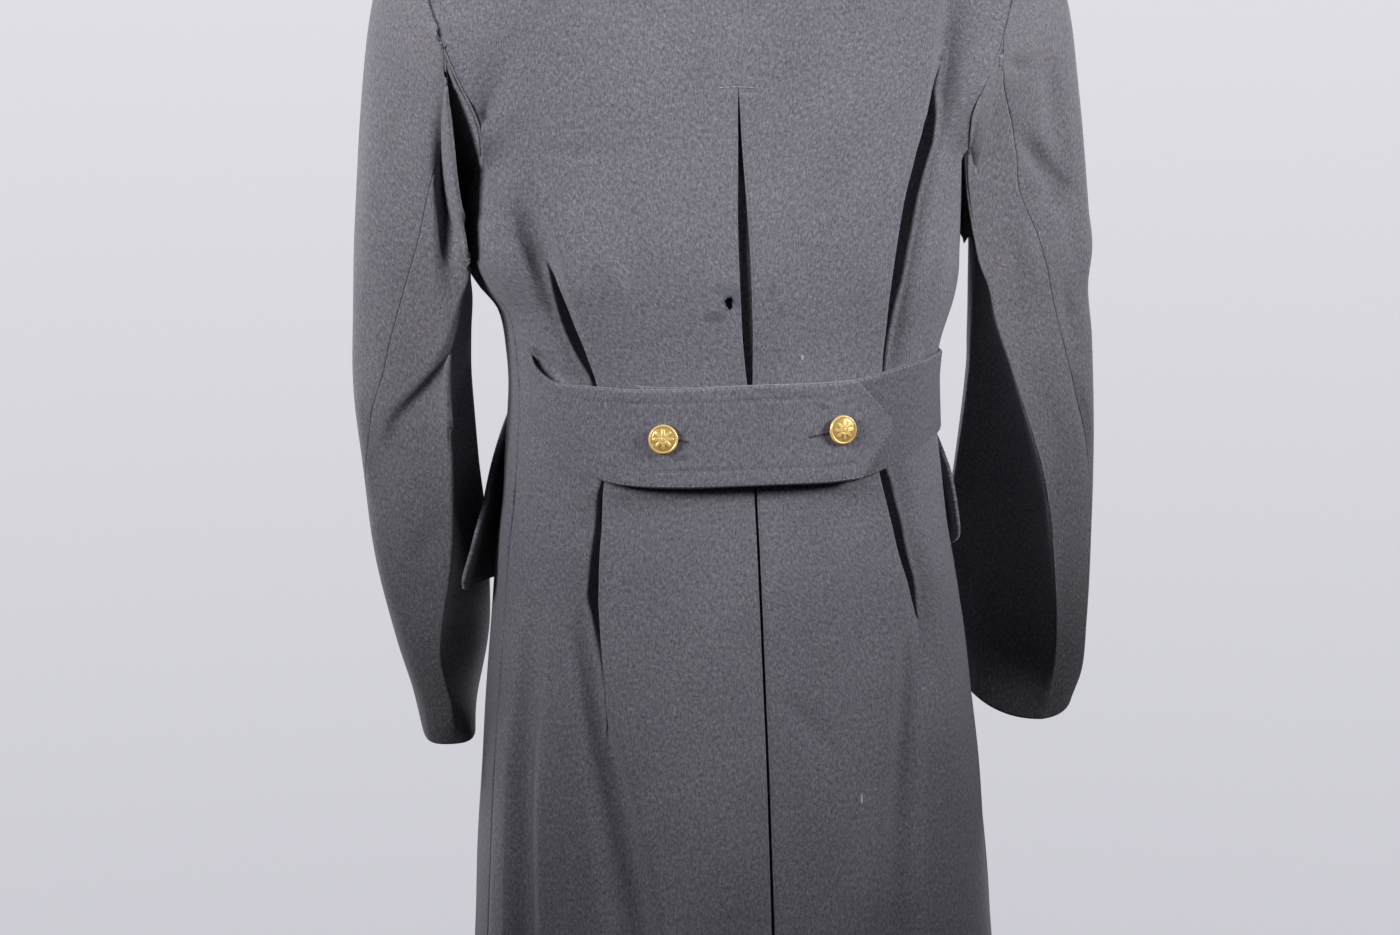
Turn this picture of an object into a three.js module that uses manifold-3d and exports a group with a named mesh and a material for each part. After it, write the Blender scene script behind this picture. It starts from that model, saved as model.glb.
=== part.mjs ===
// Grey wool greatcoat, hollow, in the form it has when it is filled out.
// Millimetres, +Z up. The back faces +Y and the wearer's left is +X.
// The origin is the middle of the neck opening, level with the nape.
import * as THREE from 'three';
import Module from 'manifold-3d';
import { mergeVertices } from 'three/addons/utils/BufferGeometryUtils.js';

const wasm = await Module();
wasm.setup();

// Cloth
const cloth = 2.6;
const doubled = 4;
const seamGap = 0.3;
const wallEase = 1.2;

// Body
const armpitZ = -245;
const sideSeamAngle = 76;
const bodySections = [
  { z: -245, left: 217, right: 205, back: 105, front: 122, square: 3.2 },
  { z: -285, left: 222, right: 201, back: 109, front: 123, square: 3.1 },
  { z: -318, left: 224, right: 199, back: 112, front: 124, square: 2.9 },
  { z: -341, left: 213, right: 198, back: 114, front: 124, square: 2.8 },
  { z: -363, left: 196, right: 194, back: 115, front: 123, square: 2.7 },
  { z: -400, left: 190, right: 183, back: 116, front: 120, square: 2.5 },
  { z: -437, left: 189, right: 179, back: 118, front: 119, square: 2.4 },
  { z: -520, left: 191, right: 183, back: 122, front: 122, square: 2.4 },
  { z: -620, left: 202, right: 197, back: 138, front: 133, square: 2.4 },
  { z: -740, left: 220, right: 213, back: 154, front: 144, square: 2.4 },
  { z: -910, left: 232, right: 225, back: 168, front: 155, square: 2.4 },
  { z: -1180, left: 244, right: 240, back: 186, front: 170, square: 2.4 },
];

// Neck and shoulder
const neck = { half: 78, middleY: 12, back: 50, front: 100, sideZ: 8, frontZ: -60 };
const shoulder = { x: 258, y: -8, z: -50 };
const neckColumn = 0.18;
const neckColumnFront = 1.87;
const shoulderPower = 1.1;
const napePower = 2;
const armhole = { back: 50, front: 78, scoop: 7, underBulge: 9, reach: 0.6, reachBelow: 0.1 };

// Inverted pleat at the centre of the back: half its opening at each height
const pleat = { lipRadius: 3, returnWidth: 34, underlayHalf: 32 };
const pleatOpening = [
  { z: 10, half: 0.15 },
  { z: -185, half: 0.15 },
  { z: -260, half: 1.4 },
  { z: -340, half: 4 },
  { z: -385, half: 3.6 },
  { z: -440, half: 1.2 },
  { z: -560, half: 1.2 },
  { z: -870, half: 1.6 },
  { z: -1180, half: 3 },
];

// Deep folds that the half belt draws in at each side of the back
const foldHalfWidth = 17;
const backFolds = {
  left: [
    { z: -255, x: 182, deep: 0 },
    { z: -318, x: 166, deep: 9 },
    { z: -370, x: 148, deep: 16 },
    { z: -420, x: 131, deep: 19 },
    { z: -500, x: 126, deep: 19 },
    { z: -575, x: 138, deep: 22 },
    { z: -660, x: 132, deep: 17 },
    { z: -760, x: 124, deep: 10 },
    { z: -880, x: 122, deep: 6 },
    { z: -1180, x: 128, deep: 5 },
  ],
  right: [
    { z: -130, x: 172, deep: 0 },
    { z: -175, x: 162, deep: 5 },
    { z: -220, x: 153, deep: 14 },
    { z: -268, x: 142, deep: 20 },
    { z: -317, x: 131, deep: 20 },
    { z: -419, x: 121, deep: 19 },
    { z: -496, x: 116, deep: 19 },
    { z: -560, x: 134, deep: 17 },
    { z: -620, x: 151, deep: 9 },
    { z: -720, x: 158, deep: 5 },
    { z: -1180, x: 150, deep: 6 },
  ],
};

// Softer folds down the sides of the fronts, drawn in by the same belt
const frontFoldHalfWidth = 26;
const frontFolds = {
  left: [
    { z: -280, x: 176, deep: 0 },
    { z: -400, x: 158, deep: 9 },
    { z: -520, x: 150, deep: 12 },
    { z: -700, x: 160, deep: 12 },
    { z: -1180, x: 172, deep: 10 },
  ],
  right: [
    { z: -300, x: 170, deep: 0 },
    { z: -410, x: 152, deep: 8 },
    { z: -530, x: 146, deep: 11 },
    { z: -760, x: 152, deep: 9 },
    { z: -1180, x: 166, deep: 12 },
  ],
};

// Double-breasted fronts: how far each runs past the centre, and how far the left one is lifted
const frontOverlap = { below: 2.17, atNeck: 2.0975, rampBelow: 0.18, rampAtNeck: 0.03, clear: 0.014 };
const frontLifts = { below: 4.8, atNeck: 3.6 };

// Rows that every body panel shares: degrees above the armpit as minus, millimetres below it as plus
const rowsAbove = [-90, -81, -70, -58, -46, -35, -25, -17, -10, -5, -1.5];
const rowsBelow = [0, 32, 64, 96, 130, 160, 190, 222, 255, 290, 325, 365, 415, 480, 560, 650, 750, 845, 935];
const bodyRows = [...rowsAbove, ...rowsBelow];
const upperFoldZ = -15;

// Sleeves: a row for each ring from the armhole to the cuff, with its outer and inner points
const sleeveRings = {
  left: [
    { outX: 258, outY: -8, outZ: -50, inX: 212.9, inY: 43.3, inZ: -245, back: 50, front: 78, drop: 0 },
    { outX: 279, outY: -7, outZ: -66, inX: 223, inY: 20, inZ: -264, back: 64, front: 76, drop: 0 },
    { outX: 292, outY: -7, outZ: -106, inX: 227, inY: 8, inZ: -286, back: 68, front: 76, drop: 0 },
    { outX: 303, outY: -8, outZ: -180, inX: 227, inY: 0, inZ: -318, back: 70, front: 76, drop: 0 },
    { outX: 312, outY: -12, outZ: -280, inX: 218, inY: -10, inZ: -362, back: 70, front: 74, drop: 0 },
    { outX: 318, outY: -20, outZ: -388, inX: 217, inY: -20, inZ: -425, back: 68, front: 70, drop: 0.05 },
    { outX: 315, outY: -30, outZ: -480, inX: 216, inY: -34, inZ: -492, back: 66, front: 66, drop: 0.1 },
    { outX: 306, outY: -44, outZ: -565, inX: 212, inY: -52, inZ: -560, back: 64, front: 64, drop: 0.15 },
    { outX: 290, outY: -60, outZ: -650, inX: 211, inY: -72, inZ: -636, back: 64, front: 64, drop: 0.2 },
    { outX: 274, outY: -74, outZ: -700, inX: 218, inY: -86, inZ: -688, back: 66, front: 66, drop: 0.22 },
    { outX: 263, outY: -82, outZ: -735, inX: 225, inY: -92, inZ: -725, back: 68, front: 68, drop: 0.2 },
  ],
  right: [
    { outX: 258, outY: -8, outZ: -50, inX: 201.2, inY: 43.3, inZ: -245, back: 50, front: 78, drop: 0 },
    { outX: 284, outY: -7, outZ: -64, inX: 213, inY: 18, inZ: -264, back: 64, front: 76, drop: 0 },
    { outX: 306, outY: -7, outZ: -106, inX: 214, inY: 8, inZ: -286, back: 68, front: 76, drop: 0 },
    { outX: 317, outY: -8, outZ: -180, inX: 215, inY: 0, inZ: -318, back: 68, front: 76, drop: 0 },
    { outX: 328, outY: -12, outZ: -285, inX: 217, inY: -12, inZ: -366, back: 66, front: 72, drop: 0 },
    { outX: 336, outY: -20, outZ: -400, inX: 219, inY: -22, inZ: -432, back: 62, front: 66, drop: 0.05 },
    { outX: 340, outY: -28, outZ: -510, inX: 216, inY: -40, inZ: -512, back: 58, front: 60, drop: 0.1 },
    { outX: 341, outY: -38, outZ: -600, inX: 212, inY: -62, inZ: -585, back: 52, front: 56, drop: 0.15 },
    { outX: 341, outY: -48, outZ: -672, inX: 214, inY: -86, inZ: -645, back: 46, front: 52, drop: 0.15 },
    { outX: 336, outY: -54, outZ: -730, inX: 220, inY: -100, inZ: -681, back: 42, front: 48, drop: 0.15 },
    { outX: 328, outY: -58, outZ: -760, inX: 226, inY: -106, inZ: -702, back: 40, front: 46, drop: 0.15 },
  ],
};
const ringSteps = [0.02, 0.5, 1, 1.6, 2.2, 2.8, 3.5, 4.2, 5, 5.8, 6.6, 7.4, 8.3, 9.2, 10];
const elbowSeam = { armholeRow: -25, left: 70, right: 45, settles: 5 };
const foreSeam = { armholeRow: -10 };

// Collar: where the fall's edge lies round the neck, from the nape (0 degrees) to the throat (180)
const stand = { foot: 0.6, height: 42, inset: 6.4, crest: 4.6, wall: 3.6 };
const fallEdge = [
  { angle: 0, out: 24, drop: -48 },
  { angle: 35, out: 32, drop: -44 },
  { angle: 65, out: 48, drop: -26 },
  { angle: 90, out: 56, drop: -10 },
  { angle: 115, out: 54, drop: -14 },
  { angle: 145, out: 40, drop: -30 },
  { angle: 179, out: 34, drop: -52 },
];

// Half belt: its edges at each distance from the centre of the back
const beltEdges = [
  { x: 0, top: -422, bottom: -504 },
  { x: 84, top: -421, bottom: -503 },
  { x: 126, top: -413, bottom: -491 },
  { x: 185, top: -402, bottom: -469 },
];
const belt = { tipX: 111, tipStart: 84, tipZ: -460, underEnd: 98, lap: 0.8, standOff: 7 };
const beltColumns = [35, 62, 84, 98, 111, 122, 133, 143, 152, 160, 168, 175, 181];

// Pocket flaps: at each height, where the sewn edge and the free edge lie round the body
const flapRows = [
  { z: -448, sewn: 1.486, free: 1.177, off: 1.5 },
  { z: -480, sewn: 1.475, free: 1.136, off: 8 },
  { z: -520, sewn: 1.455, free: 1.115, off: 13 },
  { z: -560, sewn: 1.434, free: 1.095, off: 14 },
  { z: -604, sewn: 1.414, free: 1.095, off: 7 },
];

// Buttons: the profile from the shank to the crown of the dome
const buttonProfile = [[0, 0], [4.5, 0], [4.5, 1.6], [11.6, 2.2], [12, 3.4], [9.6, 4.4], [5.2, 6.2], [0, 7]];
const buttonSides = 10;
const beltButtons = { left: { x: 76, z: -463 }, right: { x: -71, z: -461 } };
const frontButtons = { x: 56, heights: [-128, -238, -348, -458] };

// Moth hole beside the pleat
const mothHole = { x: 19, z: -355, half: 4.2, tall: 5.6, from: 90, to: 140 };

// Materials
const wool = { color: 0x76757f, roughness: 0.95, metalness: 0 };
const gilt = { color: 0xcfa75a, roughness: 0.35, metalness: 1 };

const overcoat = new THREE.Group();
const radians = Math.PI / 180;
const { lerp, smoothstep, clamp } = THREE.MathUtils;

// Value of a table's column at a place between its rows, on a smooth curve through them
function read(rows, by, at, column) {
  const last = rows.length - 1;
  const way = Math.sign(rows[last][by] - rows[0][by]);
  let i = 0;
  while (i < last - 1 && (at - rows[i + 1][by]) * way > 0) i += 1;
  const slope = (j) => {
    const before = rows[Math.max(j - 1, 0)];
    const after = rows[Math.min(j + 1, last)];
    return (after[column] - before[column]) / (after[by] - before[by]);
  };
  const span = rows[i + 1][by] - rows[i][by];
  const f = clamp((at - rows[i][by]) / span, 0, 1);
  const bend = f * f * (3 - 2 * f);
  return lerp(rows[i][column], rows[i + 1][column], bend)
    + span * (slope(i) * f * (1 - f) ** 2 - slope(i + 1) * f * f * (1 - f));
}

// Places evenly spread between a list of keys, with a number of steps for each stretch
function spread(keys, steps) {
  const places = [keys[0]];
  steps.forEach((count, i) => {
    for (let n = 1; n <= count; n += 1) places.push(lerp(keys[i], keys[i + 1], n / count));
  });
  return places;
}

// Sine or cosine for a section that is squarer than an ellipse, whose own value is 2
function squared(value, square) {
  return Math.sign(value) * Math.abs(value) ** (2 / square);
}

// Name of the other side
function across(side) {
  return side === 'left' ? 'right' : 'left';
}

// Point of the body's level section. A column is 0 at centre back, 1 at the side seam, 2 at centre front
function bodySection(side, column, z) {
  const past = Math.max(column - 1, 0) * (180 - sideSeamAngle);
  const angle = (Math.min(column, 1) * sideSeamAngle + past) * radians;
  const depth = Math.cos(angle) > 0 ? 'back' : 'front';
  const square = read(bodySections, 'z', z, 'square');
  return new THREE.Vector3(
    read(bodySections, 'z', z, column > 2 ? across(side) : side) * squared(Math.sin(angle), square),
    read(bodySections, 'z', z, depth) * squared(Math.cos(angle), square),
    z,
  );
}

// Point of the neckline at an angle from the nape
function neckline(angle) {
  const along = Math.cos(angle);
  const y = neck.middleY + along * (along > 0 ? neck.back : neck.front);
  const rise = along > 0 ? neck.sideZ * Math.sin(angle) ** 2 : neck.sideZ;
  const fall = along > 0 ? 0 : (neck.sideZ - neck.frontZ) * Math.abs(along) ** 1.5;
  return new THREE.Vector3(neck.half * Math.sin(angle), y, rise - fall);
}

// Point of the line that ends the body at the top: neckline, then shoulder seam
function topLine(column) {
  if (column > 2) {
    const mirrored = topLine(4 - column);
    return mirrored.setX(-mirrored.x);
  }
  if (column <= neckColumn) return neckline(Math.PI / 2 * column / neckColumn);
  if (column >= neckColumnFront) {
    return neckline(Math.PI / 2 * (1 + (column - neckColumnFront) / (2 - neckColumnFront)));
  }
  const neckEnd = column <= 1 ? neckColumn : neckColumnFront;
  const point = new THREE.Vector3(shoulder.x, shoulder.y, shoulder.z);
  return neckline(Math.PI / 2).lerp(point, (column - neckEnd) / (1 - neckEnd));
}

// How far the armhole's curved edge lies in X and Y from the straight line between its ends
function armholeSwell(face, rise) {
  const swell = Math.sqrt(4 * rise * (1 - rise));
  const depth = face === 'back' ? armhole.back : -armhole.front;
  const bulge = face === 'back' ? 0 : armhole.underBulge * Math.min(1, 3 * swell) * (1 - rise) ** 4;
  return new THREE.Vector3(bulge - armhole.scoop * swell, depth * swell, 0);
}

// Point of the body's plain form, with no folds
function bodyForm(side, face, column, row) {
  if (column < 0) {
    const mirrored = bodyForm(across(side), face, -column, row);
    return mirrored.setX(-mirrored.x);
  }
  if (row >= 0) return bodySection(side, column, armpitZ - row);
  const rise = Math.sin(-row * radians);
  const level = Math.cos(row * radians);
  const low = bodySection(side, column, armpitZ);
  const top = topLine(column);
  const fromCentre = Math.min(Math.abs(2 - column), column);
  const bend = lerp(napePower, shoulderPower, smoothstep(fromCentre, 0, 2 * neckColumn));
  const point = new THREE.Vector3(
    lerp(low.x, top.x, rise),
    lerp(top.y, low.y, level ** bend),
    lerp(low.z, top.z, rise),
  );
  const reach = lerp(armhole.reachBelow, armhole.reach, Math.sqrt(4 * rise * (1 - rise)));
  const nearEdge = Math.max(0, 1 - Math.abs(1 - column) / reach) ** 2;
  const seam = bodySection(side, 1, armpitZ);
  const straightY = lerp(seam.y, shoulder.y, rise);
  const roundY = lerp(shoulder.y, seam.y, level ** shoulderPower);
  const edge = armholeSwell(face, rise);
  edge.y += straightY - roundY;
  return point.addScaledVector(edge, nearEdge);
}

// Height that a row has near the deep folds
function rowHeight(row) {
  return row >= 0 ? armpitZ - row : lerp(armpitZ, upperFoldZ, Math.sin(-row * radians));
}

// Column where the body's form is a given distance from its centre
function columnAt(side, face, x, row) {
  if (x < 0 && face === 'back') return -columnAt(across(side), face, -x, row);
  let [near, far] = face === 'back' ? [0, 1] : [2.3, 1.2];
  for (let n = 0; n < 40; n += 1) {
    const middle = (near + far) / 2;
    if (bodyForm(side, face, middle, row).x < x) near = middle;
    else far = middle;
  }
  return (near + far) / 2;
}

// Point of a surface with its outward normal, its unit direction along the row and its scale
function frameAt(surface, column, row, limits = [-Infinity, Infinity]) {
  const step = 1e-4;
  const before = Math.max(column - step, limits[0]);
  const after = Math.min(column + step, limits[1]);
  const above = row < 0 ? Math.max(row - step, -90) : Math.max(row - step, 0);
  const below = row + step;
  const along = surface(after, row).sub(surface(before, row));
  const down = surface(column, below).sub(surface(column, above));
  const normal = along.clone().cross(down).normalize();
  const scale = along.length() / (after - before);
  return { point: surface(column, row), normal, along: along.normalize(), scale };
}

// Frame moved out along its normal
function moved(frame, out) {
  return { ...frame, point: frame.point.clone().addScaledVector(frame.normal, out) };
}

// Body with a line of folds pressed in
function foldedBody(side, face, folds, halfWidth) {
  const lines = new Map();
  const lineFrame = (row) => {
    if (!lines.has(row)) {
      const column = columnAt(side, face, read(folds, 'z', rowHeight(row), 'x'), row);
      const frame = frameAt((c, r) => bodyForm(side, face, c, r), column, row);
      lines.set(row, { column, scale: frame.scale });
    }
    return lines.get(row);
  };
  return (column, row) => {
    const line = lineFrame(row);
    const away = Math.abs(column - line.column) * line.scale / halfWidth;
    const z = rowHeight(row);
    if (away >= 1 || z > folds[0].z) return bodyForm(side, face, column, row);
    const frame = frameAt((c, r) => bodyForm(side, face, c, r), column, row);
    const deep = read(folds, 'z', z, 'deep') * (1 + Math.cos(Math.PI * away)) / 2;
    return moved(frame, -deep).point;
  };
}

// Moves the border points of a grid toward their neighbours
function drawIn(grid, distance) {
  const pull = (edge, next) => {
    const way = next.clone().sub(edge);
    edge.addScaledVector(way.normalize(), distance);
  };
  const last = grid.length - 1;
  const end = grid[0].length - 1;
  grid.forEach((row) => {
    pull(row[0], row[1]);
    pull(row[end], row[end - 1]);
  });
  for (let c = 0; c <= end; c += 1) {
    pull(grid[0][c], grid[1][c]);
    pull(grid[last][c], grid[last - 1][c]);
  }
}

// Closed wall of cloth under a grid of frames. Rows run down and columns so that the outside faces out
function clothWall(frames, thickness, ease = wallEase) {
  const outer = frames.map((row) => row.map((frame) => frame.point.clone()));
  const inner = frames.map((row) => row.map((frame) => moved(frame, -thickness).point));
  drawIn(outer, seamGap / 2);
  drawIn(inner, seamGap / 2 + ease);
  const rows = outer.length;
  const columns = outer[0].length;
  const positions = [...outer.flat(), ...inner.flat()].flatMap((point) => point.toArray());
  const at = (r, c) => r * columns + c;
  const back = rows * columns;
  const index = [];
  for (let r = 0; r < rows - 1; r += 1) {
    for (let c = 0; c < columns - 1; c += 1) {
      const [a, b, d, e] = [at(r, c), at(r, c + 1), at(r + 1, c + 1), at(r + 1, c)];
      const first = outer[r][c].distanceTo(outer[r + 1][c + 1]);
      const second = outer[r][c + 1].distanceTo(outer[r + 1][c]);
      const halves = first < second ? [[a, b, d], [a, d, e]] : [[a, b, e], [b, d, e]];
      halves.forEach(([p, q, s]) => index.push(p, q, s, back + p, back + s, back + q));
    }
  }
  const border = [];
  for (let c = 0; c < columns; c += 1) border.push(at(0, c));
  for (let r = 1; r < rows; r += 1) border.push(at(r, columns - 1));
  for (let c = columns - 2; c >= 0; c -= 1) border.push(at(rows - 1, c));
  for (let r = rows - 2; r > 0; r -= 1) border.push(at(r, 0));
  border.forEach((p, i) => {
    const q = border[(i + 1) % border.length];
    index.push(q, p, back + p, q, back + p, back + q);
  });
  const geometry = new THREE.BufferGeometry();
  geometry.setAttribute('position', new THREE.Float32BufferAttribute(positions, 3));
  geometry.setIndex(index);
  return geometry;
}

// Mirror image of a geometry on the other side of the coat, still facing out
function mirrored(geometry) {
  geometry.scale(-1, 1, 1);
  const index = geometry.getIndex().array;
  for (let i = 0; i < index.length; i += 3) [index[i], index[i + 1]] = [index[i + 1], index[i]];
  return geometry;
}

function addMesh(name, geometry, finish) {
  const mesh = new THREE.Mesh(geometry, new THREE.MeshStandardMaterial(finish));
  mesh.name = name;
  overcoat.add(mesh);
  return mesh;
}

// A wool piece built on the left side, or mirrored to the right
function addWool(name, side, geometry) {
  addMesh(name, side === 'left' ? geometry : mirrored(geometry), wool);
}

// Frames of one row of a back: the pleat's return, its lip, then the panel out to the side seam
function backRow(side, row) {
  const folds = backFolds[side];
  const plain = (column, r) => bodyForm(side, 'back', column, r);
  const opening = read(pleatOpening, 'z', rowHeight(row), 'half');
  const lipX = opening + pleat.lipRadius;
  const depth = 2 * pleat.lipRadius;
  const frames = [pleat.returnWidth, pleat.returnWidth / 2, 0].map((reach) => {
    const under = moved(frameAt(plain, columnAt(side, 'back', lipX + reach, row), row), -depth);
    return { ...under, normal: under.normal.clone().negate() };
  });
  const lipColumn = columnAt(side, 'back', lipX, row);
  const lip = frameAt(plain, lipColumn, row);
  const centre = moved(lip, -pleat.lipRadius).point;
  [120, 60].forEach((angle) => {
    const normal = lip.normal.clone().multiplyScalar(Math.cos(angle * radians));
    normal.addScaledVector(lip.along, -Math.sin(angle * radians));
    frames.push({ point: centre.clone().addScaledVector(normal, pleat.lipRadius), normal });
  });
  const foldX = read(folds, 'z', rowHeight(row), 'x');
  const foldColumn = columnAt(side, 'back', foldX, row);
  const reach = foldHalfWidth / frameAt(plain, foldColumn, row).scale;
  const near = foldColumn - reach;
  const far = foldColumn + reach;
  const keys = [lipColumn, neckColumn, near, foldColumn, far, 1];
  const surface = foldedBody(side, 'back', folds, foldHalfWidth);
  spread(keys, [4, 2, 3, 3, 3]).forEach((column) => {
    frames.push(frameAt(surface, column, row, [0, 1]));
  });
  return frames;
}

// Boolean solid of a closed geometry
function toSolid(geometry) {
  geometry.deleteAttribute('normal');
  geometry.deleteAttribute('uv');
  const merged = mergeVertices(geometry, 1e-4);
  return new wasm.Manifold(new wasm.Mesh({
    numProp: 3,
    vertProperties: new Float32Array(merged.getAttribute('position').array),
    triVerts: new Uint32Array(merged.getIndex().array),
  }));
}

function fromSolid(solid) {
  const mesh = solid.getMesh();
  const geometry = new THREE.BufferGeometry();
  geometry.setAttribute('position', new THREE.Float32BufferAttribute(mesh.vertProperties, 3));
  geometry.setIndex(new THREE.Uint32BufferAttribute(mesh.triVerts, 1));
  return geometry;
}

// Uneven plug that the moth hole leaves free, through every layer behind it
function mothPlug() {
  const ragged = [1, 0.86, 1.05, 0.9, 1.08, 0.84, 0.98];
  const outline = ragged.map((size, i) => {
    const angle = i / ragged.length * 2 * Math.PI;
    return new THREE.Vector2(mothHole.half * size * Math.cos(angle), mothHole.tall * size * Math.sin(angle));
  });
  const depth = mothHole.to - mothHole.from;
  const plug = new THREE.ExtrudeGeometry(new THREE.Shape(outline), { depth, bevelEnabled: false });
  plug.rotateX(Math.PI / 2);
  plug.translate(mothHole.x, mothHole.to, mothHole.z);
  return toSolid(plug);
}

function addBacks() {
  ['left', 'right'].forEach((side) => {
    const frames = bodyRows.map((row) => backRow(side, row));
    const panel = clothWall(frames, cloth);
    if (side === 'left') addWool('back_left', side, fromSolid(toSolid(panel).subtract(mothPlug())));
    else addWool('back_right', side, panel);
  });
}

// Strip behind the two lips of the pleat
function addUnderlay() {
  const plain = (column, row) => bodyForm('left', 'back', column, row);
  const depth = 2 * pleat.lipRadius + 2 * seamGap;
  const frames = bodyRows.map((row) => [-1, -0.5, 0, 0.5, 1].map((part) => {
    const column = columnAt('left', 'back', part * pleat.underlayHalf, row);
    return moved(frameAt(plain, column, row), -depth);
  }));
  const strip = toSolid(clothWall(frames, cloth)).subtract(mothPlug());
  addWool('back_pleat_underlay', 'left', fromSolid(strip));
}

// Column where a row of the fronts ends, past the centre
function frontEdge(row) {
  return lerp(frontOverlap.below, frontOverlap.atNeck, row < 0 ? Math.sin(-row * radians) : 0);
}

// How far a front is lifted at a place, where it laps over the other
function frontLift(side, column, row) {
  if (side === 'right') return 0;
  const rise = row < 0 ? Math.sin(-row * radians) : 0;
  const full = 4 - frontEdge(row) - frontOverlap.clear;
  const ramp = lerp(frontOverlap.rampBelow, frontOverlap.rampAtNeck, rise);
  return lerp(frontLifts.below, frontLifts.atNeck, rise ** 4) * smoothstep(column, full - ramp, full);
}

function frontRow(side, row) {
  const folds = frontFolds[side];
  const plain = (column, r) => bodyForm(side, 'front', column, r);
  const foldColumn = columnAt(side, 'front', read(folds, 'z', rowHeight(row), 'x'), row);
  const reach = frontFoldHalfWidth / frameAt(plain, foldColumn, row).scale;
  const keys = [1, foldColumn - reach, foldColumn, foldColumn + reach, neckColumnFront, 2, frontEdge(row)];
  const surface = foldedBody(side, 'front', folds, frontFoldHalfWidth);
  return spread(keys, [4, 2, 2, 2, 4, 3]).map((column) => {
    return moved(frameAt(surface, column, row, [1, 3]), frontLift(side, column, row));
  });
}

function addFronts() {
  ['left', 'right'].forEach((side) => {
    const frames = bodyRows.map((row) => frontRow(side, row));
    addWool(`front_${side}`, side, clothWall(frames, cloth));
  });
}

// Point of a sleeve: columns are degrees round it, minus, from its outer side toward the front
function sleeveForm(side, column, ring) {
  const rings = sleeveRings[side].map((row, order) => ({ ...row, order }));
  const value = (name) => read(rings, 'order', ring, name);
  const out = Math.cos(column * radians);
  const rear = -Math.sin(column * radians);
  const half = rear > 0 ? value('back') : value('front');
  const edge = armholeSwell(rear > 0 ? 'back' : 'front', (1 + out) / 2).x * Math.max(0, 1 - ring);
  const between = (name) => lerp(value(`in${name}`), value(`out${name}`), (1 + out) / 2);
  const y = between('Y') + rear * half;
  return new THREE.Vector3(between('X') + edge, y, between('Z') - value('drop') * rear * half);
}

// Degrees round a sleeve, from its outer side, where a row of the body meets the armhole
function armholeAngle(row) {
  return Math.acos(2 * Math.sin(-row * radians) - 1) / radians;
}

function addSleeves() {
  const angles = [...rowsAbove, 0].map(armholeAngle);
  const elbow = armholeAngle(elbowSeam.armholeRow);
  const fore = armholeAngle(foreSeam.armholeRow);
  const rear = angles.filter((angle) => angle <= elbow).map((angle) => -angle).reverse();
  const ahead = angles.filter((angle) => angle > 0 && angle <= fore);
  const inside = angles.filter((angle) => angle >= fore).map((angle) => angle - 360);
  const behind = angles.filter((angle) => angle >= elbow && angle < 180).map((angle) => -angle).reverse();
  ['left', 'right'].forEach((side) => {
    const surface = (column, ring) => sleeveForm(side, column, ring);
    const frames = (columns, fixed) => ringSteps.map((ring) => {
      const seam = lerp(elbow, elbowSeam[side], smoothstep(ring, 0, elbowSeam.settles));
      return columns.map((column) => {
        if (column > 0) return frameAt(surface, column, ring);
        return frameAt(surface, fixed + (column - fixed) * (seam + fixed) / (elbow + fixed), ring);
      });
    });
    addWool(`sleeve_${side}_top`, side, clothWall(frames([...rear, ...ahead], 0), cloth));
    addWool(`sleeve_${side}_under`, side, clothWall(frames([...inside, ...behind], fore - 360), cloth));
  });
}

// Frames across the collar at an angle from the nape: stand, crest and fall
function collarStation(angle) {
  const foot = neckline(Math.abs(angle) * radians);
  foot.x *= Math.sign(angle) || 1;
  const ahead = Math.abs(angle) > 90 ? neck.front : neck.back;
  const outward = new THREE.Vector3(Math.sin(angle * radians) / neck.half, Math.cos(angle * radians) / ahead, 0);
  outward.normalize();
  const out = read(fallEdge, 'angle', Math.abs(angle), 'out');
  const drop = read(fallEdge, 'angle', Math.abs(angle), 'drop');
  const crestZ = stand.height - stand.crest;
  const crestOut = stand.crest - stand.inset;
  const fallStart = crestOut + stand.crest;
  const fallSlope = Math.atan2(out - fallStart, crestZ - drop);
  const profile = [
    { out: -stand.inset, z: stand.foot, turn: 180 },
    { out: -stand.inset, z: crestZ / 2, turn: 180 },
  ];
  [180, 135, 90, 45].forEach((turn) => {
    profile.push({
      out: crestOut + stand.crest * Math.cos(turn * radians),
      z: crestZ + stand.crest * Math.sin(turn * radians),
      turn,
    });
  });
  [0, 0.33, 0.66, 1].forEach((part) => {
    profile.push({
      out: lerp(fallStart, out, part),
      z: lerp(crestZ, drop, part),
      turn: fallSlope / radians * Math.min(1, 2 * part),
    });
  });
  return profile.map((place) => {
    const point = foot.clone().addScaledVector(outward, place.out);
    point.z += place.z;
    const normal = outward.clone().multiplyScalar(Math.cos(place.turn * radians));
    normal.z = Math.sin(place.turn * radians);
    return { point, normal };
  });
}

// Collar, from the throat on the right side round the nape to the throat on the left
function addCollar() {
  const stations = spread([-179, -90, 0, 90, 179], [4, 4, 4, 4]).map(collarStation);
  const frames = stations[0].map((_, place) => stations.map((station) => station[place]));
  addWool('collar', 'left', clothWall(frames, stand.wall));
}

// Top or bottom edge of the half belt at a distance from the centre of the back
function beltEdge(side, x, edge) {
  const z = read(beltEdges, 'x', Math.abs(x), edge);
  if (side === 'right' || x > -belt.tipStart) return z;
  return lerp(z, belt.tipZ, 0.88 * (-x - belt.tipStart) / (belt.tipX - belt.tipStart));
}

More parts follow.
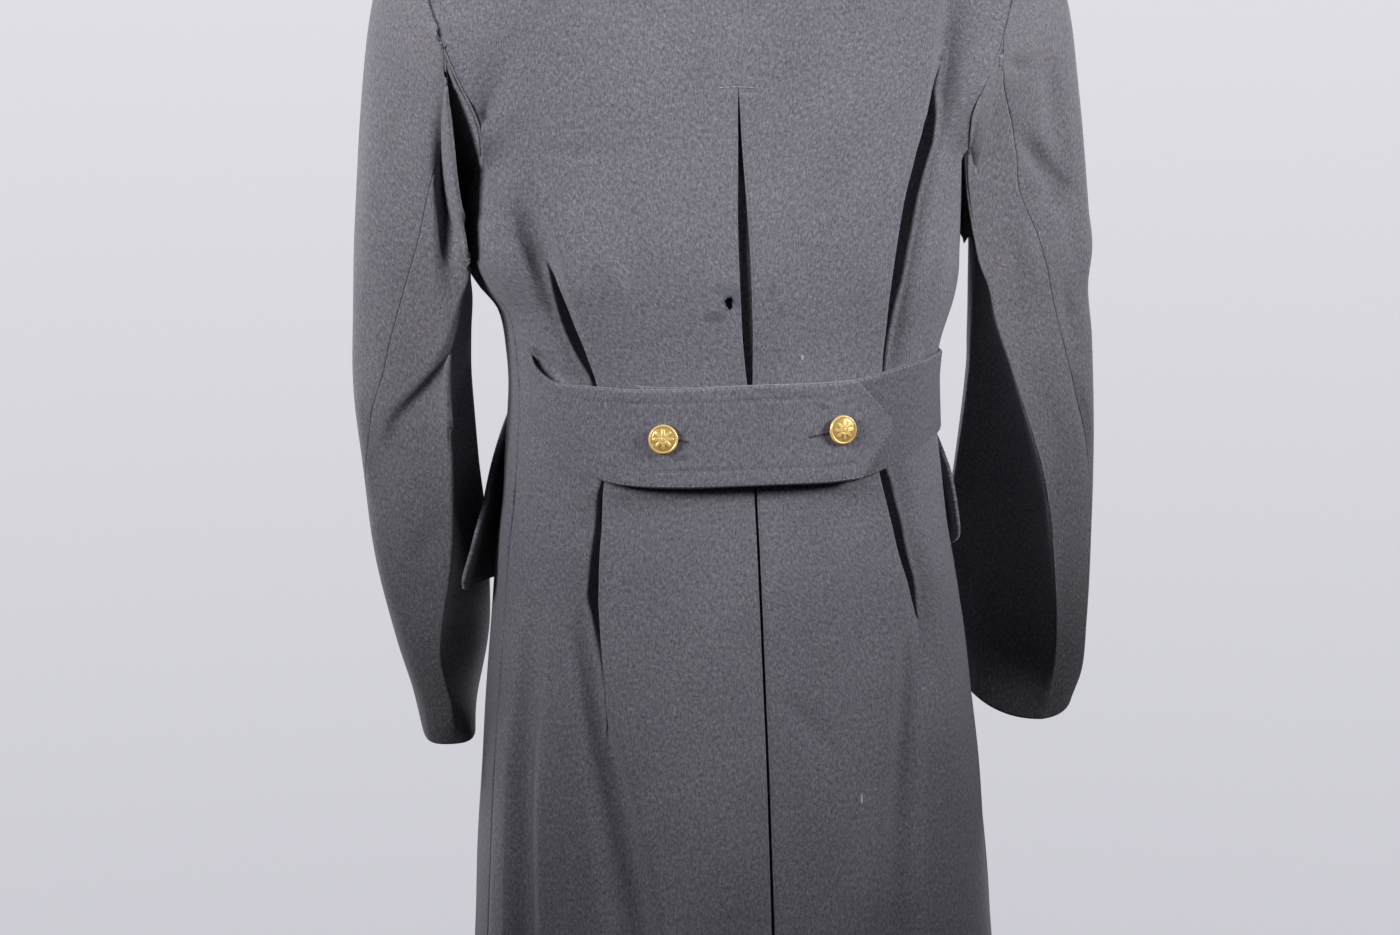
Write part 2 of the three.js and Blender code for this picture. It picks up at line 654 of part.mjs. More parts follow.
// Frame of the half belt's outer face at a distance from the centre and a part of its width
function beltFrame(side, x, part) {
  const z = lerp(beltEdge(side, x, 'top'), beltEdge(side, x, 'bottom'), part);
  const top = read(beltEdges, 'x', Math.abs(x), 'top');
  const down = (z - top) / (read(beltEdges, 'x', Math.abs(x), 'bottom') - top);
  const row = armpitZ - z;
  const surface = (column, r) => bodyForm(side, 'back', column, r);
  const frame = frameAt(surface, columnAt(side, 'back', x, row), row);
  const middle = 1 - smoothstep(Math.abs(x), 100, 165);
  const lapped = side === 'left' ? 1 - smoothstep(x, belt.underEnd, 150) : 0;
  const out = belt.lap + doubled + lapped * (belt.lap + doubled) + belt.standOff * down * down * middle;
  return moved(frame, out);
}

function addHalfBelt() {
  const widthParts = [0, 0.25, 0.5, 0.75, 1];
  const past = (end) => beltColumns.filter((x) => x <= end).map((x) => -x).reverse();
  const halves = {
    left: [...past(belt.tipX), 0, ...beltColumns],
    right: [...past(belt.underEnd), 0, ...beltColumns],
  };
  Object.entries(halves).forEach(([side, columns]) => {
    const frames = widthParts.map((part) => columns.map((x) => beltFrame(side, x, part)));
    addWool(`half_belt_${side}`, side, clothWall(frames, doubled, seamGap));
  });
}

function addPocketFlaps() {
  const heights = spread(flapRows.map((row) => row.z), [1, 2, 2, 2]);
  ['left', 'right'].forEach((side) => {
    const plain = (column, row) => bodyForm(side, 'front', column, row);
    const frames = heights.map((z) => {
      const value = (name) => read(flapRows, 'z', z, name);
      return [0, 0.2, 0.4, 0.7, 1].map((part) => {
        const column = lerp(value('free'), value('sewn'), part);
        const out = 3 * seamGap + doubled + value('off') * (1 - part) ** 1.6;
        return moved(frameAt(plain, column, armpitZ - z), out);
      });
    });
    addWool(`pocket_flap_${side}`, side, clothWall(frames, doubled, seamGap));
  });
}

// A button standing on a frame of the cloth under it
function addButton(name, frame) {
  const profile = buttonProfile.map(([radius, height]) => new THREE.Vector2(radius, height));
  const mesh = addMesh(name, new THREE.LatheGeometry(profile, buttonSides), gilt);
  mesh.position.copy(moved(frame, 2 * seamGap).point);
  mesh.quaternion.setFromUnitVectors(new THREE.Vector3(0, 1, 0), frame.normal);
}

function addBeltButtons() {
  Object.entries(beltButtons).forEach(([side, place]) => {
    const top = beltEdge('left', place.x, 'top');
    const part = (place.z - top) / (beltEdge('left', place.x, 'bottom') - top);
    addButton(`belt_button_${side}`, beltFrame('left', place.x, part));
  });
}

function addFrontButtons() {
  const surface = (column, row) => {
    const frame = frameAt((c, r) => bodyForm('left', 'front', c, r), column, row);
    return moved(frame, frontLift('left', column, row)).point;
  };
  frontButtons.heights.forEach((z, order) => {
    ['left', 'right'].forEach((side) => {
      const x = side === 'left' ? frontButtons.x : -frontButtons.x;
      const row = z > armpitZ ? -Math.asin((z - armpitZ) / (neck.frontZ - armpitZ)) / radians : armpitZ - z;
      addButton(`front_button_${side}_${order + 1}`, frameAt(surface, columnAt('left', 'front', x, row), row));
    });
  });
}

addBacks();
addUnderlay();
addFronts();
addSleeves();
addCollar();
addHalfBelt();
addPocketFlaps();
addBeltButtons();
addFrontButtons();

export default overcoat;
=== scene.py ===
import bmesh
import bpy
import numpy as np
from mathutils import Matrix, Vector


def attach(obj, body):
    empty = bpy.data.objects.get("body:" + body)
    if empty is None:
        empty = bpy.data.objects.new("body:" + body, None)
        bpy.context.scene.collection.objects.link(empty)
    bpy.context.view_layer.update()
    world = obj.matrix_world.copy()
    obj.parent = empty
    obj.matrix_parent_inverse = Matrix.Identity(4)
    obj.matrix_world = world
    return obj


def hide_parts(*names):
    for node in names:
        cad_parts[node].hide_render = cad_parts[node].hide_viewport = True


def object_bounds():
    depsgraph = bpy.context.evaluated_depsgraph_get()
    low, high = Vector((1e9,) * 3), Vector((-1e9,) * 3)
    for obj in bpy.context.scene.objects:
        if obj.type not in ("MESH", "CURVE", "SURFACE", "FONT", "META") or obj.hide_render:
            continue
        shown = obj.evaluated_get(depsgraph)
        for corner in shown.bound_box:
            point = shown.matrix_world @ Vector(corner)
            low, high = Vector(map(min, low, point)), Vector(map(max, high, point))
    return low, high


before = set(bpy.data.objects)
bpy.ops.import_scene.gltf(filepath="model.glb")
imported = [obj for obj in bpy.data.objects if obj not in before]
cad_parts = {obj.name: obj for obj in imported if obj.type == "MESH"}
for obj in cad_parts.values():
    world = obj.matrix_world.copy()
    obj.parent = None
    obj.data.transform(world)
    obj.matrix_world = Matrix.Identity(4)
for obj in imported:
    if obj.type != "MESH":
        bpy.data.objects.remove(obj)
cad_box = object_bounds()

# Camera
# It stands behind the coat, a little to the coat's left, and looks down on it by 8 degrees with a
# degree of roll. The lens shows the back from under the shoulders to the middle of the skirt.
millimetre = 0.001
camera_aim = Vector((46, 117, -488)) * millimetre
camera_distance = 1.9
camera_turn = np.radians(170)
camera_rise = np.radians(8)
camera_roll = np.radians(-1)
camera_back = Vector((
    np.sin(camera_turn) * np.cos(camera_rise),
    -np.cos(camera_turn) * np.cos(camera_rise),
    np.sin(camera_rise),
))
camera_side = Vector((0, 0, 1)).cross(camera_back).normalized()
camera_up = camera_back.cross(camera_side)
camera_data = bpy.data.cameras.new("camera")
camera_data.lens = 60
camera_data.sensor_width = 36
camera = bpy.data.objects.new("camera", camera_data)
turned = Matrix((camera_side, camera_up, camera_back)).transposed().to_4x4()
turned.translation = camera_aim + camera_back * camera_distance
camera.matrix_world = turned @ Matrix.Rotation(camera_roll, 4, "Z")
bpy.context.scene.collection.objects.link(camera)
bpy.context.scene.camera = camera

# Back, left and right
# Two panels of felted grey wool cut whole from the shoulder to the hem. Their centre edges turn
# in as the lips of an inverted pleat, which is stitched shut to a bar tack under the shoulders.
cloth_thickness = 2.6
armpit_z = -245
side_seam_angle = 76
neck = {"half": 78, "middle_y": 12, "back": 50, "front": 100, "side_z": 8, "front_z": -60, "front_power": 1.5}
shoulder_point = np.array([258.0, -8.0, -50.0])
neck_column = 0.18
neck_column_front = 1.87
shoulder_power = 1.1
nape_power = 2
armhole = {"back": 50, "front": 78, "scoop": 7, "under_bulge": 9, "reach": 0.6, "reach_below": 0.1}
across = {"left": "right", "right": "left"}


def table(columns, rows):
    """Named columns of a table of numbers."""
    return dict(zip(columns.split(), np.array(rows, float).T))


body_sections = table("z left right back front square", [
    (-245, 217, 205, 105, 122, 3.2),
    (-285, 222, 201, 109, 123, 3.1),
    (-318, 224, 199, 112, 124, 2.9),
    (-341, 213, 198, 114, 124, 2.8),
    (-363, 196, 194, 115, 123, 2.7),
    (-400, 190, 183, 116, 120, 2.5),
    (-437, 189, 179, 118, 119, 2.4),
    (-520, 196, 185, 122, 122, 2.4),
    (-560, 202, 190, 128, 126, 2.4),
    (-620, 208, 199, 138, 133, 2.4),
    (-740, 220, 213, 154, 144, 2.4),
    (-910, 232, 225, 168, 155, 2.4),
    (-1180, 244, 240, 186, 170, 2.4),
])
armhole_shifts = {
    "left": table("rise shift", [
        (0, 0), (0.19, -2), (0.36, 5.5), (0.45, 9), (0.6, 14), (0.7, 15), (0.85, 9), (1, 0),
    ]),
    "right": table("rise shift", [
        (0, 0), (0.12, -6), (0.21, -8), (0.32, -4), (0.43, 0.5), (0.68, 5), (0.85, 4), (1, 0),
    ]),
}
pleat_centre = table("z x", [
    (10, 0), (-60, 3), (-120, 5.5), (-190, 6), (-260, 5.6),
    (-320, 5), (-426, 3), (-500, 0.8), (-560, 0), (-1180, 0),
])
pleat_opening = table("z half lip", [
    (10, -1.15, 1.5),
    (-180, -1.15, 1.5),
    (-188, -0.2, 1.7),
    (-200, 0.7, 1.9),
    (-224, 1.4, 2.2),
    (-255, 2.7, 2.6),
    (-288, 4.1, 3),
    (-319, 4.8, 3),
    (-351, 4.7, 3),
    (-382, 4.4, 3),
    (-398, 3.7, 3),
    (-414, 2.8, 3),
    (-428, 1.7, 3),
    (-460, 1.0, 3),
    (-560, 1.0, 3),
    (-870, 1.2, 3),
    (-1180, 2.4, 3),
])
back_folds = {
    "left": table("z x half deep", [
        (-300, 170, 0.3, 0),
        (-318, 167, 0.6, 1),
        (-332, 163.5, 1.3, 6),
        (-345, 159.4, 2.6, 15),
        (-358, 154.6, 3.8, 24),
        (-372, 149.4, 4.2, 24),
        (-383, 144.7, 4.2, 24),
        (-393, 140.4, 3.7, 24),
        (-403, 136.2, 2.7, 22),
        (-416, 130.4, 1.2, 18),
        (-440, 125.5, 1, 14),
        (-470, 123.5, 0.8, 14),
        (-497, 125.1, 0.8, 16),
        (-515, 127.2, 1.8, 20),
        (-536, 129.4, 2.4, 23),
        (-556, 132.9, 3.1, 25),
        (-576, 135.5, 4, 26),
        (-595, 137.3, 4.5, 26),
        (-607, 136.4, 3.4, 24),
        (-627, 135.1, 2.3, 20),
        (-647, 133.5, 1.4, 16),
        (-667, 131.8, 1, 9),
        (-690, 131, 0.7, 4),
        (-715, 130, 0.5, 0),
    ]),
    "right": table("z x half deep", [
        (-150, 175, 0.3, 0),
        (-172, 170, 0.6, 4),
        (-183, 167.4, 1.1, 10),
        (-191, 165.7, 2.8, 15),
        (-203, 163.4, 5.2, 21),
        (-211, 161.1, 6.7, 24),
        (-224, 158.3, 7.8, 27),
        (-235, 154.4, 8, 28),
        (-248, 150.2, 7.6, 28),
        (-276, 141.6, 7.7, 28),
        (-309, 134.1, 7.3, 28),
        (-341, 127.6, 6.3, 28),
        (-358, 124.1, 5, 26),
        (-374, 121.4, 3.9, 24),
        (-391, 119.3, 2.5, 20),
        (-416, 116.2, 1, 16),
        (-440, 113, 1, 15),
        (-470, 110, 1.8, 16),
        (-494, 111.2, 3.8, 20),
        (-511, 115.8, 5.1, 24),
        (-529, 120.6, 5.2, 25),
        (-546, 125.5, 5.6, 26),
        (-560, 128.4, 5.7, 26),
        (-575, 132.4, 5.7, 25),
        (-593, 138.2, 4.9, 20),
        (-606, 141.9, 2.5, 10),
        (-618, 143.5, 1, 4),
        (-632, 144.5, 0.7, 0),
    ]),
}
fold_lip = 3


def creases(*lines):
    """Soft creases: each is a line of places with its depth and its width there."""
    return [table("x z deep width", line) for line in lines]


def troughs(*lines):
    """Broad folds: each is a line of places by height, with its depth and its width on the near
    side and the far side of the line."""
    return [table("z x deep near far", line) for line in lines]


back_creases = {
    "left": creases(
        [(182, -226, 0, 4), (150, -233, 2.2, 3.5), (118, -233, 2, 3.5), (92, -230, 0, 4)],
        [(162, -70, 0, 22), (182, -133, 8, 18), (196, -169, 9, 14), (209, -200, 8, 9)],
        [(160, -170, 0, 20), (176, -225, -3.5, 20), (186, -270, -3, 16), (180, -300, 0, 16)],
        [(196, -262, 0, 12), (180, -290, 3, 15), (168, -318, 3.5, 13), (160, -345, 0, 9)],
        [
            (177, -392, 0, 4), (171, -401, 8, 4.5), (164, -409, 10, 4.5), (155, -416, 6, 4.5),
            (142, -419, 0, 4.5),
        ],
        [(176, -462, 0, 3), (168, -470, 4, 4), (150, -485, 6, 4.5), (132, -497, 6, 4.5), (118, -501, 0, 5)],
        [(130, -300, 0, 9), (112, -330, -2, 9), (100, -365, 0, 9)],
        [(90, -270, 0, 8), (60, -285, 1, 8), (40, -280, 0, 8)],
        [(70, -120, 0, 14), (110, -150, 1.5, 14), (150, -150, 0, 14)],
    ),
    "right": creases(
        [(194, -90, 0, 20), (187, -150, 6, 20), (180, -205, 7, 19), (172, -262, 4, 17), (166, -315, 0, 15)],
        [(176, -290, 0, 12), (170, -330, -3, 14), (160, -370, 0, 12)],
        [(70, -300, 0, 9), (50, -330, 1.2, 9), (44, -370, 0, 9)],
        [(120, -150, 0, 14), (90, -175, 1.4, 14), (60, -170, 0, 14)],
        [(150, -390, 0, 7), (160, -412, 3, 7), (166, -430, 0, 7)],
        [(6, -676, 0, 9), (26, -690, 2.2, 9), (44, -712, 2.6, 9), (56, -745, 0, 9)],
        [(60, -900, 0, 12), (80, -850, -2.4, 14), (84, -790, 0, 12)],
    ),
}
back_troughs = {
    "left": troughs(
        [
            (-225, 196, 0, 20, 20),
            (-275, 180, 5, 20, 26),
            (-315, 168, 12, 16, 22),
            (-345, 160, 9, 16, 20),
            (-370, 150, 7, 14, 20),
            (-400, 138, 4, 12, 20),
            (-450, 125, 0, 12, 20),
        ],
        [
            (-500, 126, 0, 14, 20),
            (-590, 140, 5, 14, 34),
            (-665, 136, 9, 8, 26),
            (-770, 120, 10, 17, 34),
            (-890, 107, 9, 22, 38),
            (-1180, 96, 7, 28, 44),
        ],
        [
            (-580, 176, 0, 18, 20),
            (-660, 187, 6, 20, 20),
            (-750, 197, 12, 20, 22),
            (-890, 203, 14, 22, 24),
            (-1180, 210, 14, 26, 26),
        ],
    ),
    "right": troughs(
        [
            (-60, 196, 0, 20, 24),
            (-120, 184, 6, 20, 26),
            (-180, 168, 9, 10, 24),
            (-240, 152, 10, 8, 26),
            (-300, 138, 9, 8, 28),
            (-380, 121, 8, 8, 26),
            (-450, 114, 2, 10, 26),
            (-520, 120, 4, 12, 30),
            (-600, 142, 7, 18, 30),
            (-680, 146, 3, 22, 26),
            (-800, 148, 0, 28, 30),
        ],
        [
            (-590, 134, 0, 16, 20),
            (-660, 127, 6, 20, 24),
            (-765, 118, 8, 26, 28),
            (-880, 111, 6, 30, 32),
            (-1180, 113, 5, 30, 30),
        ],
    ),
}


def read(rows, by, at, column):
    """Value of a table's column at a place between its rows, on a smooth curve through them."""
    x, y = rows[by], rows[column]
    if x[-1] < x[0]:
        x, y = x[::-1], y[::-1]
    slope = np.concatenate((
        [(y[1] - y[0]) / (x[1] - x[0])],
        (y[2:] - y[:-2]) / (x[2:] - x[:-2]),
        [(y[-1] - y[-2]) / (x[-1] - x[-2])],
    ))
    row = np.clip(np.searchsorted(x, at, side="right") - 1, 0, len(x) - 2)
    span = x[row + 1] - x[row]
    share = np.clip((at - x[row]) / span, 0, 1)
    bend = share * share * (3 - 2 * share)
    curve = slope[row] * share * (1 - share) ** 2 - slope[row + 1] * share * share * (1 - share)
    return y[row] * (1 - bend) + y[row + 1] * bend + span * curve


def ease(value, low, high):
    """Smooth step from 0 at low to 1 at high."""
    share = np.clip((value - low) / (high - low), 0, 1)
    return share * share * (3 - 2 * share)


def mix(start, end, share):
    """Value at a share of the way from start to end."""
    return start + (end - start) * share


def unit(vectors):
    """Vectors brought to a length of 1."""
    return vectors / np.maximum(np.linalg.norm(vectors, axis=-1, keepdims=True), 1e-9)


def body_section(side, column, z):
    """Point of the body's level section. A column is 0 at centre back, 1 at the side seam, 2 at
    centre front, less than 0 or more than 2 past the centre."""
    column, z = np.broadcast_arrays(np.asarray(column, float), np.asarray(z, float))
    turn = np.abs(column)
    past_centre = (column < 0) | (column > 2)
    half = np.where(
        past_centre,
        read(body_sections, "z", z, across[side]),
        read(body_sections, "z", z, side),
    )
    angle = np.minimum(turn, 1) * side_seam_angle + np.maximum(turn - 1, 0) * (180 - side_seam_angle)
    sine, cosine = np.sin(np.radians(angle)), np.cos(np.radians(angle))
    square = 2 / read(body_sections, "z", z, "square")
    back, front = (read(body_sections, "z", z, face) for face in ("back", "front"))
    x = half * np.sign(sine) * np.abs(sine) ** square * np.where(column < 0, -1, 1)
    y = np.where(cosine > 0, back, front) * np.sign(cosine) * np.abs(cosine) ** square
    return np.stack((x, y, z), -1)


def neckline(angle):
    """Point of the neckline at an angle from the nape."""
    along = np.cos(angle)
    y = neck["middle_y"] + along * np.where(along > 0, neck["back"], neck["front"])
    rise = np.where(along > 0, neck["side_z"] * np.sin(angle) ** 2, neck["side_z"])
    fall = np.where(along > 0, 0, (neck["side_z"] - neck["front_z"]) * np.abs(along) ** neck["front_power"])
    return np.stack((neck["half"] * np.sin(angle), y, rise - fall), -1)


def top_line(column):
    """Point of the line that ends the body at the top: neckline, then shoulder seam."""
    turn = np.where(column > 2, 4 - column, np.abs(column))
    mirror = np.where((column > 2) | (column < 0), -1.0, 1.0)
    behind = np.minimum(turn / neck_column, 1)
    ahead = 1 + np.maximum((turn - neck_column_front) / (2 - neck_column_front), 0)
    point = neckline(np.pi / 2 * np.where(turn <= 1, behind, ahead))
    neck_end = np.where(turn <= 1, neck_column, neck_column_front)
    share = np.clip((turn - neck_end) / (1 - neck_end), 0, 1)[..., None]
    point = mix(point, shoulder_point, share)
    point[..., 0] *= mirror
    return point


def armhole_swell(side, face, rise):
    """How far the armhole's curved edge lies from the straight line between its ends."""
    swell = np.sqrt(np.maximum(4 * rise * (1 - rise), 0))
    depth = armhole["back"] if face == "back" else -armhole["front"]
    bulge = read(armhole_shifts[side], "rise", rise, "shift")
    if face == "front":
        bulge = armhole["under_bulge"] * np.minimum(1, 3 * swell) * (1 - rise) ** 4
    return np.stack((bulge - armhole["scoop"] * swell, depth * swell, 0 * swell), -1)


def body_form(side, face, column, row):
    """Point of the body's plain form. A row is millimetres below the armpit, or less than 0:
    minus degrees above it, up to the top line at -90."""
    column, row = np.broadcast_arrays(np.asarray(column, float), np.asarray(row, float))
    below = body_section(side, column, armpit_z - np.maximum(row, 0))
    rise = np.sin(np.radians(np.maximum(-row, 0)))
    level = np.sqrt(np.maximum(1 - rise * rise, 0))
    low = body_section(side, column, armpit_z + 0 * row)
    flow = body_section(side, column, armpit_z - 1 + 0 * row) - low
    top = top_line(column)
    from_centre = np.minimum(np.abs(2 - column), np.abs(column))
    bend = mix(nape_power, shoulder_power, ease(from_centre, 0, 2 * neck_column))
    x = mix(low[..., 0], top[..., 0], rise)
    y = mix(top[..., 1], low[..., 1], level ** bend)
    z = mix(low[..., 2], top[..., 2], rise)
    y = y - flow[..., 1] * (z - armpit_z) * (1 - rise) ** 3
    swell = np.sqrt(np.maximum(4 * rise * (1 - rise), 0))
    reach = mix(armhole["reach_below"], armhole["reach"], swell)
    near_edge = np.maximum(0, 1 - np.abs(1 - np.abs(column)) / reach) ** 2
    seam = body_section(side, np.ones_like(column), armpit_z + 0 * row)
    straight = mix(seam[..., 1], shoulder_point[1], rise)
    round_y = mix(shoulder_point[1], seam[..., 1], level ** shoulder_power)
    edge = armhole_swell(side, face, rise)
    edge[..., 1] += straight - round_y - (-flow[..., 1] * (z - armpit_z) * (1 - rise) ** 3)
    edge[..., 0] *= np.sign(column + (column == 0))
    above = np.stack((x, y, z), -1) + edge * near_edge[..., None]
    return np.where((row < 0)[..., None], above, below)


front_column_limits = (2.3, 1.2)


def column_at(side, face, x, row):
    """Column where the body's form is a given distance from its centre."""
    x, row = np.broadcast_arrays(np.asarray(x, float), np.asarray(row, float))
    sign = np.where(x < 0, -1, 1) if face == "back" else np.ones_like(x)
    limits = (0, 1) if face == "back" else front_column_limits
    near, far = (np.full_like(x, limit) for limit in limits)
    for _ in range(36):
        middle = (near + far) / 2
        reached = body_form(side, face, middle * sign, row)[..., 0] * sign < x * sign
        near = np.where(reached, middle, near)
        far = np.where(reached, far, middle)
    return (near + far) / 2 * sign


def face_frames(places):
    """Outward normals and directions along the rows of a grid of places."""
    along = unit(np.gradient(places, axis=1))
    down = unit(np.gradient(places, axis=0))
    return unit(np.cross(along, down)), along


def fold_depth(fold, z, away):
    """Depth of a fold at a height and a distance from its line. It is full on the line, and none
    past the width of the near side or the far side."""
    inside = (z <= fold["z"].max()) & (z >= fold["z"].min())
    width = np.where(away < 0, read(fold, "z", z, "near"), read(fold, "z", z, "far"))
    lobe = 0.5 + 0.5 * np.cos(np.pi * np.clip(np.abs(away) / width, 0, 1))
    return np.maximum(read(fold, "z", z, "deep"), 0) * lobe * inside


steepest_lean = 0.35


def press_fold(places, fold):
    """Presses a fold into a grid of places: its line, depth and widths go by height."""
    normals, along = face_frames(places)
    z = places[..., 2]
    away = places[..., 0] - read(fold, "z", z, "x")
    away = away / np.maximum(np.abs(along[..., 0]), steepest_lean)
    return places - normals * fold_depth(fold, z, away)[..., None]


def press_crease(places, crease):
    """Presses a soft crease into a grid of places along a line of points."""
    normals, _ = face_frames(places)
    flat = places[..., [0, 2]]
    nearest = np.full(flat.shape[:2], 1e9)
    pressed = np.zeros(flat.shape[:2])
    points = np.stack((crease["x"], crease["z"]), -1)
    for k in range(len(points) - 1):
        step = points[k + 1] - points[k]
        share = np.clip(((flat - points[k]) @ step) / (step @ step), 0, 1)
        distance = np.linalg.norm(flat - points[k] - share[..., None] * step, axis=-1)
        deep = mix(crease["deep"][k], crease["deep"][k + 1], share)
        width = mix(crease["width"][k], crease["width"][k + 1], share)
        closer = distance < nearest
        nearest = np.where(closer, distance, nearest)
        pressed = np.where(closer, deep * np.exp(-(distance / width) ** 2), pressed)
    return places - normals * pressed[..., None]


fold_smoothing = 12
lip_share, floor_share = 0.6, 0.12
fold_wall_slant, fold_wall_most = 20, 1.2
fold_settles_by = 3
lips_join_from = 0.55


def cut_fold(places, columns, fold, share):
    """Closes a grid of places into a deep fold. Columns go from one of its lips to the other,
    and their share goes from -1 to 1. A rounded lip on either side leads into a wall, and the two
    walls meet in a round floor."""
    first, last = columns
    middle = (first + last) // 2
    z = places[:, middle, 2]
    deep = np.maximum(read(fold, "z", z, "deep"), 0) * ((z <= fold["z"].max()) & (z >= fold["z"].min()))
    deep = deep[:, None]
    half = read(fold, "z", z, "half")[:, None]
    lip = np.minimum(fold_lip, deep / 2)
    start, end = places[:, first], places[:, last]
    nearness = np.exp(-((z[:, None] - z[None, :]) / fold_smoothing) ** 2) * np.abs(np.gradient(z))
    along = unit(nearness @ unit(end - start))
    normals, _ = face_frames(places)
    out = unit(nearness @ normals[:, middle])
    out = unit(out - along * (out * along).sum(1, keepdims=True))
    chord = (start + end) / 2
    reach = np.linalg.norm(end - start, axis=1)[:, None] / 2
    side = np.sign(share[None, :])
    from_middle = np.abs(share[None, :])
    over = np.clip((1 - from_middle) / (1 - lip_share), 0, 1) * np.pi / 2
    down = np.clip((lip_share - from_middle) / (lip_share - floor_share), 0, 1)
    floor = np.clip((floor_share - from_middle) / floor_share, 0, 1)
    aside = half + lip * (1 - np.sin(over)) + np.minimum(fold_wall_most, deep / fold_wall_slant) * down
    aside = np.where(from_middle < floor_share, aside * np.sqrt(np.maximum(1 - floor ** 2, 0)), aside)
    sunk = np.where(from_middle > lip_share, lip * (1 - np.cos(over)), lip + (deep - lip) * down)
    folded = chord[:, None] + along[:, None] * (side * aside)[..., None] - out[:, None] * sunk[..., None]
    ends = np.where((share[None, :] < 0)[..., None], start[:, None], end[:, None])
    plain = chord[:, None] + along[:, None] * (side * reach)[..., None]
    folded = folded + (ends - plain) * ease(from_middle, lips_join_from, 1)[..., None]
    settled = ease(deep, 0, fold_settles_by)[..., None]
    result = places.copy()
    result[:, first:last + 1] = mix(places[:, first:last + 1], folded, settled)
    return result


ripple_waves = 9
ripple_way = (1, 1, 0.7)
ripple_sizes = (0.6, 1.9)
ripple_latest_start = 6.28


def ripple(places, size, height, seed):
    """Low unevenness of worn cloth, as a sum of a few slanting waves."""
    rng = np.random.default_rng(seed)
    total = np.zeros(places.shape[:2])
    for _ in range(ripple_waves):
        way = unit(rng.normal(size=3) * ripple_way)
        wave = size * rng.uniform(*ripple_sizes)
        total += np.sin(places @ way * 2 * np.pi / wave + rng.uniform(0, ripple_latest_start))
    normals, _ = face_frames(places)
    return places + normals * (total * height / np.sqrt(ripple_waves))[..., None]


def spread(keys, steps):
    """Places spread between columns of keys, with a number of steps for each stretch."""
    parts = [keys[0][:, None]]
    for start, end, count in zip(keys[:-1], keys[1:], steps):
        share = np.arange(1, count + 1) / count
        parts.append(start[:, None] + (end - start)[:, None] * share)
    return np.concatenate(parts, 1)


def cloth_panel(name, places, thickness=cloth_thickness, mirrored=False, holes=()):
    """Panel of cloth whose outer face lies on a grid of places in millimetres. Its UV map holds
    the distances across and down the cloth, in metres. Faces inside a hole are left out."""
    rows, columns = places.shape[:2]
    shape = bmesh.new()
    shape.loops.layers.uv.new("cloth")
    bmesh.ops.create_grid(shape, x_segments=columns - 1, y_segments=rows - 1, size=0.5)
    mesh = bpy.data.meshes.new(name)
    shape.to_mesh(mesh)
    shape.free()
    flat = np.empty(len(mesh.vertices) * 3, np.float32)
    mesh.vertices.foreach_get("co", flat)
    flat = flat.reshape(-1, 3)
    column = np.rint((0.5 - flat[:, 0]) * (columns - 1)).astype(int)
    row = np.rint((0.5 - flat[:, 1]) * (rows - 1)).astype(int)
    across_steps = np.linalg.norm(np.diff(places, axis=1), axis=-1)
    down_steps = np.linalg.norm(np.diff(places, axis=0), axis=-1)
    u = np.concatenate((np.zeros((rows, 1)), np.cumsum(across_steps, 1)), 1)
    u = u - u[:, [columns // 2]]
    v = np.concatenate((np.zeros((1, columns)), np.cumsum(down_steps, 0)), 0)
    v = np.repeat(v.mean(1, keepdims=True), columns, 1)
    shaped = places.copy()
    if mirrored:
        shaped[..., 0] *= -1
        u = -u
    mesh.vertices.foreach_set("co", (shaped[row, column] * millimetre).astype(np.float32).ravel())
    corners = np.empty(len(mesh.loops), np.int32)
    mesh.loops.foreach_get("vertex_index", corners)
    cloth_map = np.stack((u[row, column], -v[row, column]), -1)[corners] * millimetre
    mesh.uv_layers["cloth"].data.foreach_set("uv", cloth_map.astype(np.float32).ravel())
    if mirrored:
        mesh.flip_normals()
    mesh.polygons.foreach_set("use_smooth", np.ones(len(mesh.polygons), bool))
    mesh.update()
    for hole in holes:
        shape = bmesh.new()
        shape.from_mesh(mesh)
        eaten = []
        for face in shape.faces:
            spot = face.calc_center_median() / millimetre
            aside, above = (spot.x - hole["x"]) / hole["half"], (spot.z - hole["z"]) / hole["tall"]
            angle = np.arctan2(above, aside)
            ragged = 1
            for height, waves, start in hole["edge"]:
                ragged = ragged + height * np.sin(waves * angle + start)
            if aside * aside + above * above < ragged * ragged:
                eaten.append(face)
        bmesh.ops.delete(shape, geom=eaten, context="FACES")
        shape.to_mesh(mesh)
        shape.free()
    piece = bpy.data.objects.new(name, mesh)
    bpy.context.scene.collection.objects.link(piece)
    wall = piece.modifiers.new("wall", "SOLIDIFY")
    wall.thickness = thickness * millimetre
    wall.offset = -1
    return piece


def closed_piece(name, shape, material):
    """Smooth piece in one material, made of a closed shape, which is used up."""
    bmesh.ops.recalc_face_normals(shape, faces=shape.faces[:])
    mesh = bpy.data.meshes.new(name)
    shape.to_mesh(mesh)
    shape.free()
    mesh.polygons.foreach_set("use_smooth", np.ones(len(mesh.polygons), bool))
    mesh.materials.append(material)
    piece = bpy.data.objects.new(name, mesh)
    bpy.context.scene.collection.objects.link(piece)
    return piece


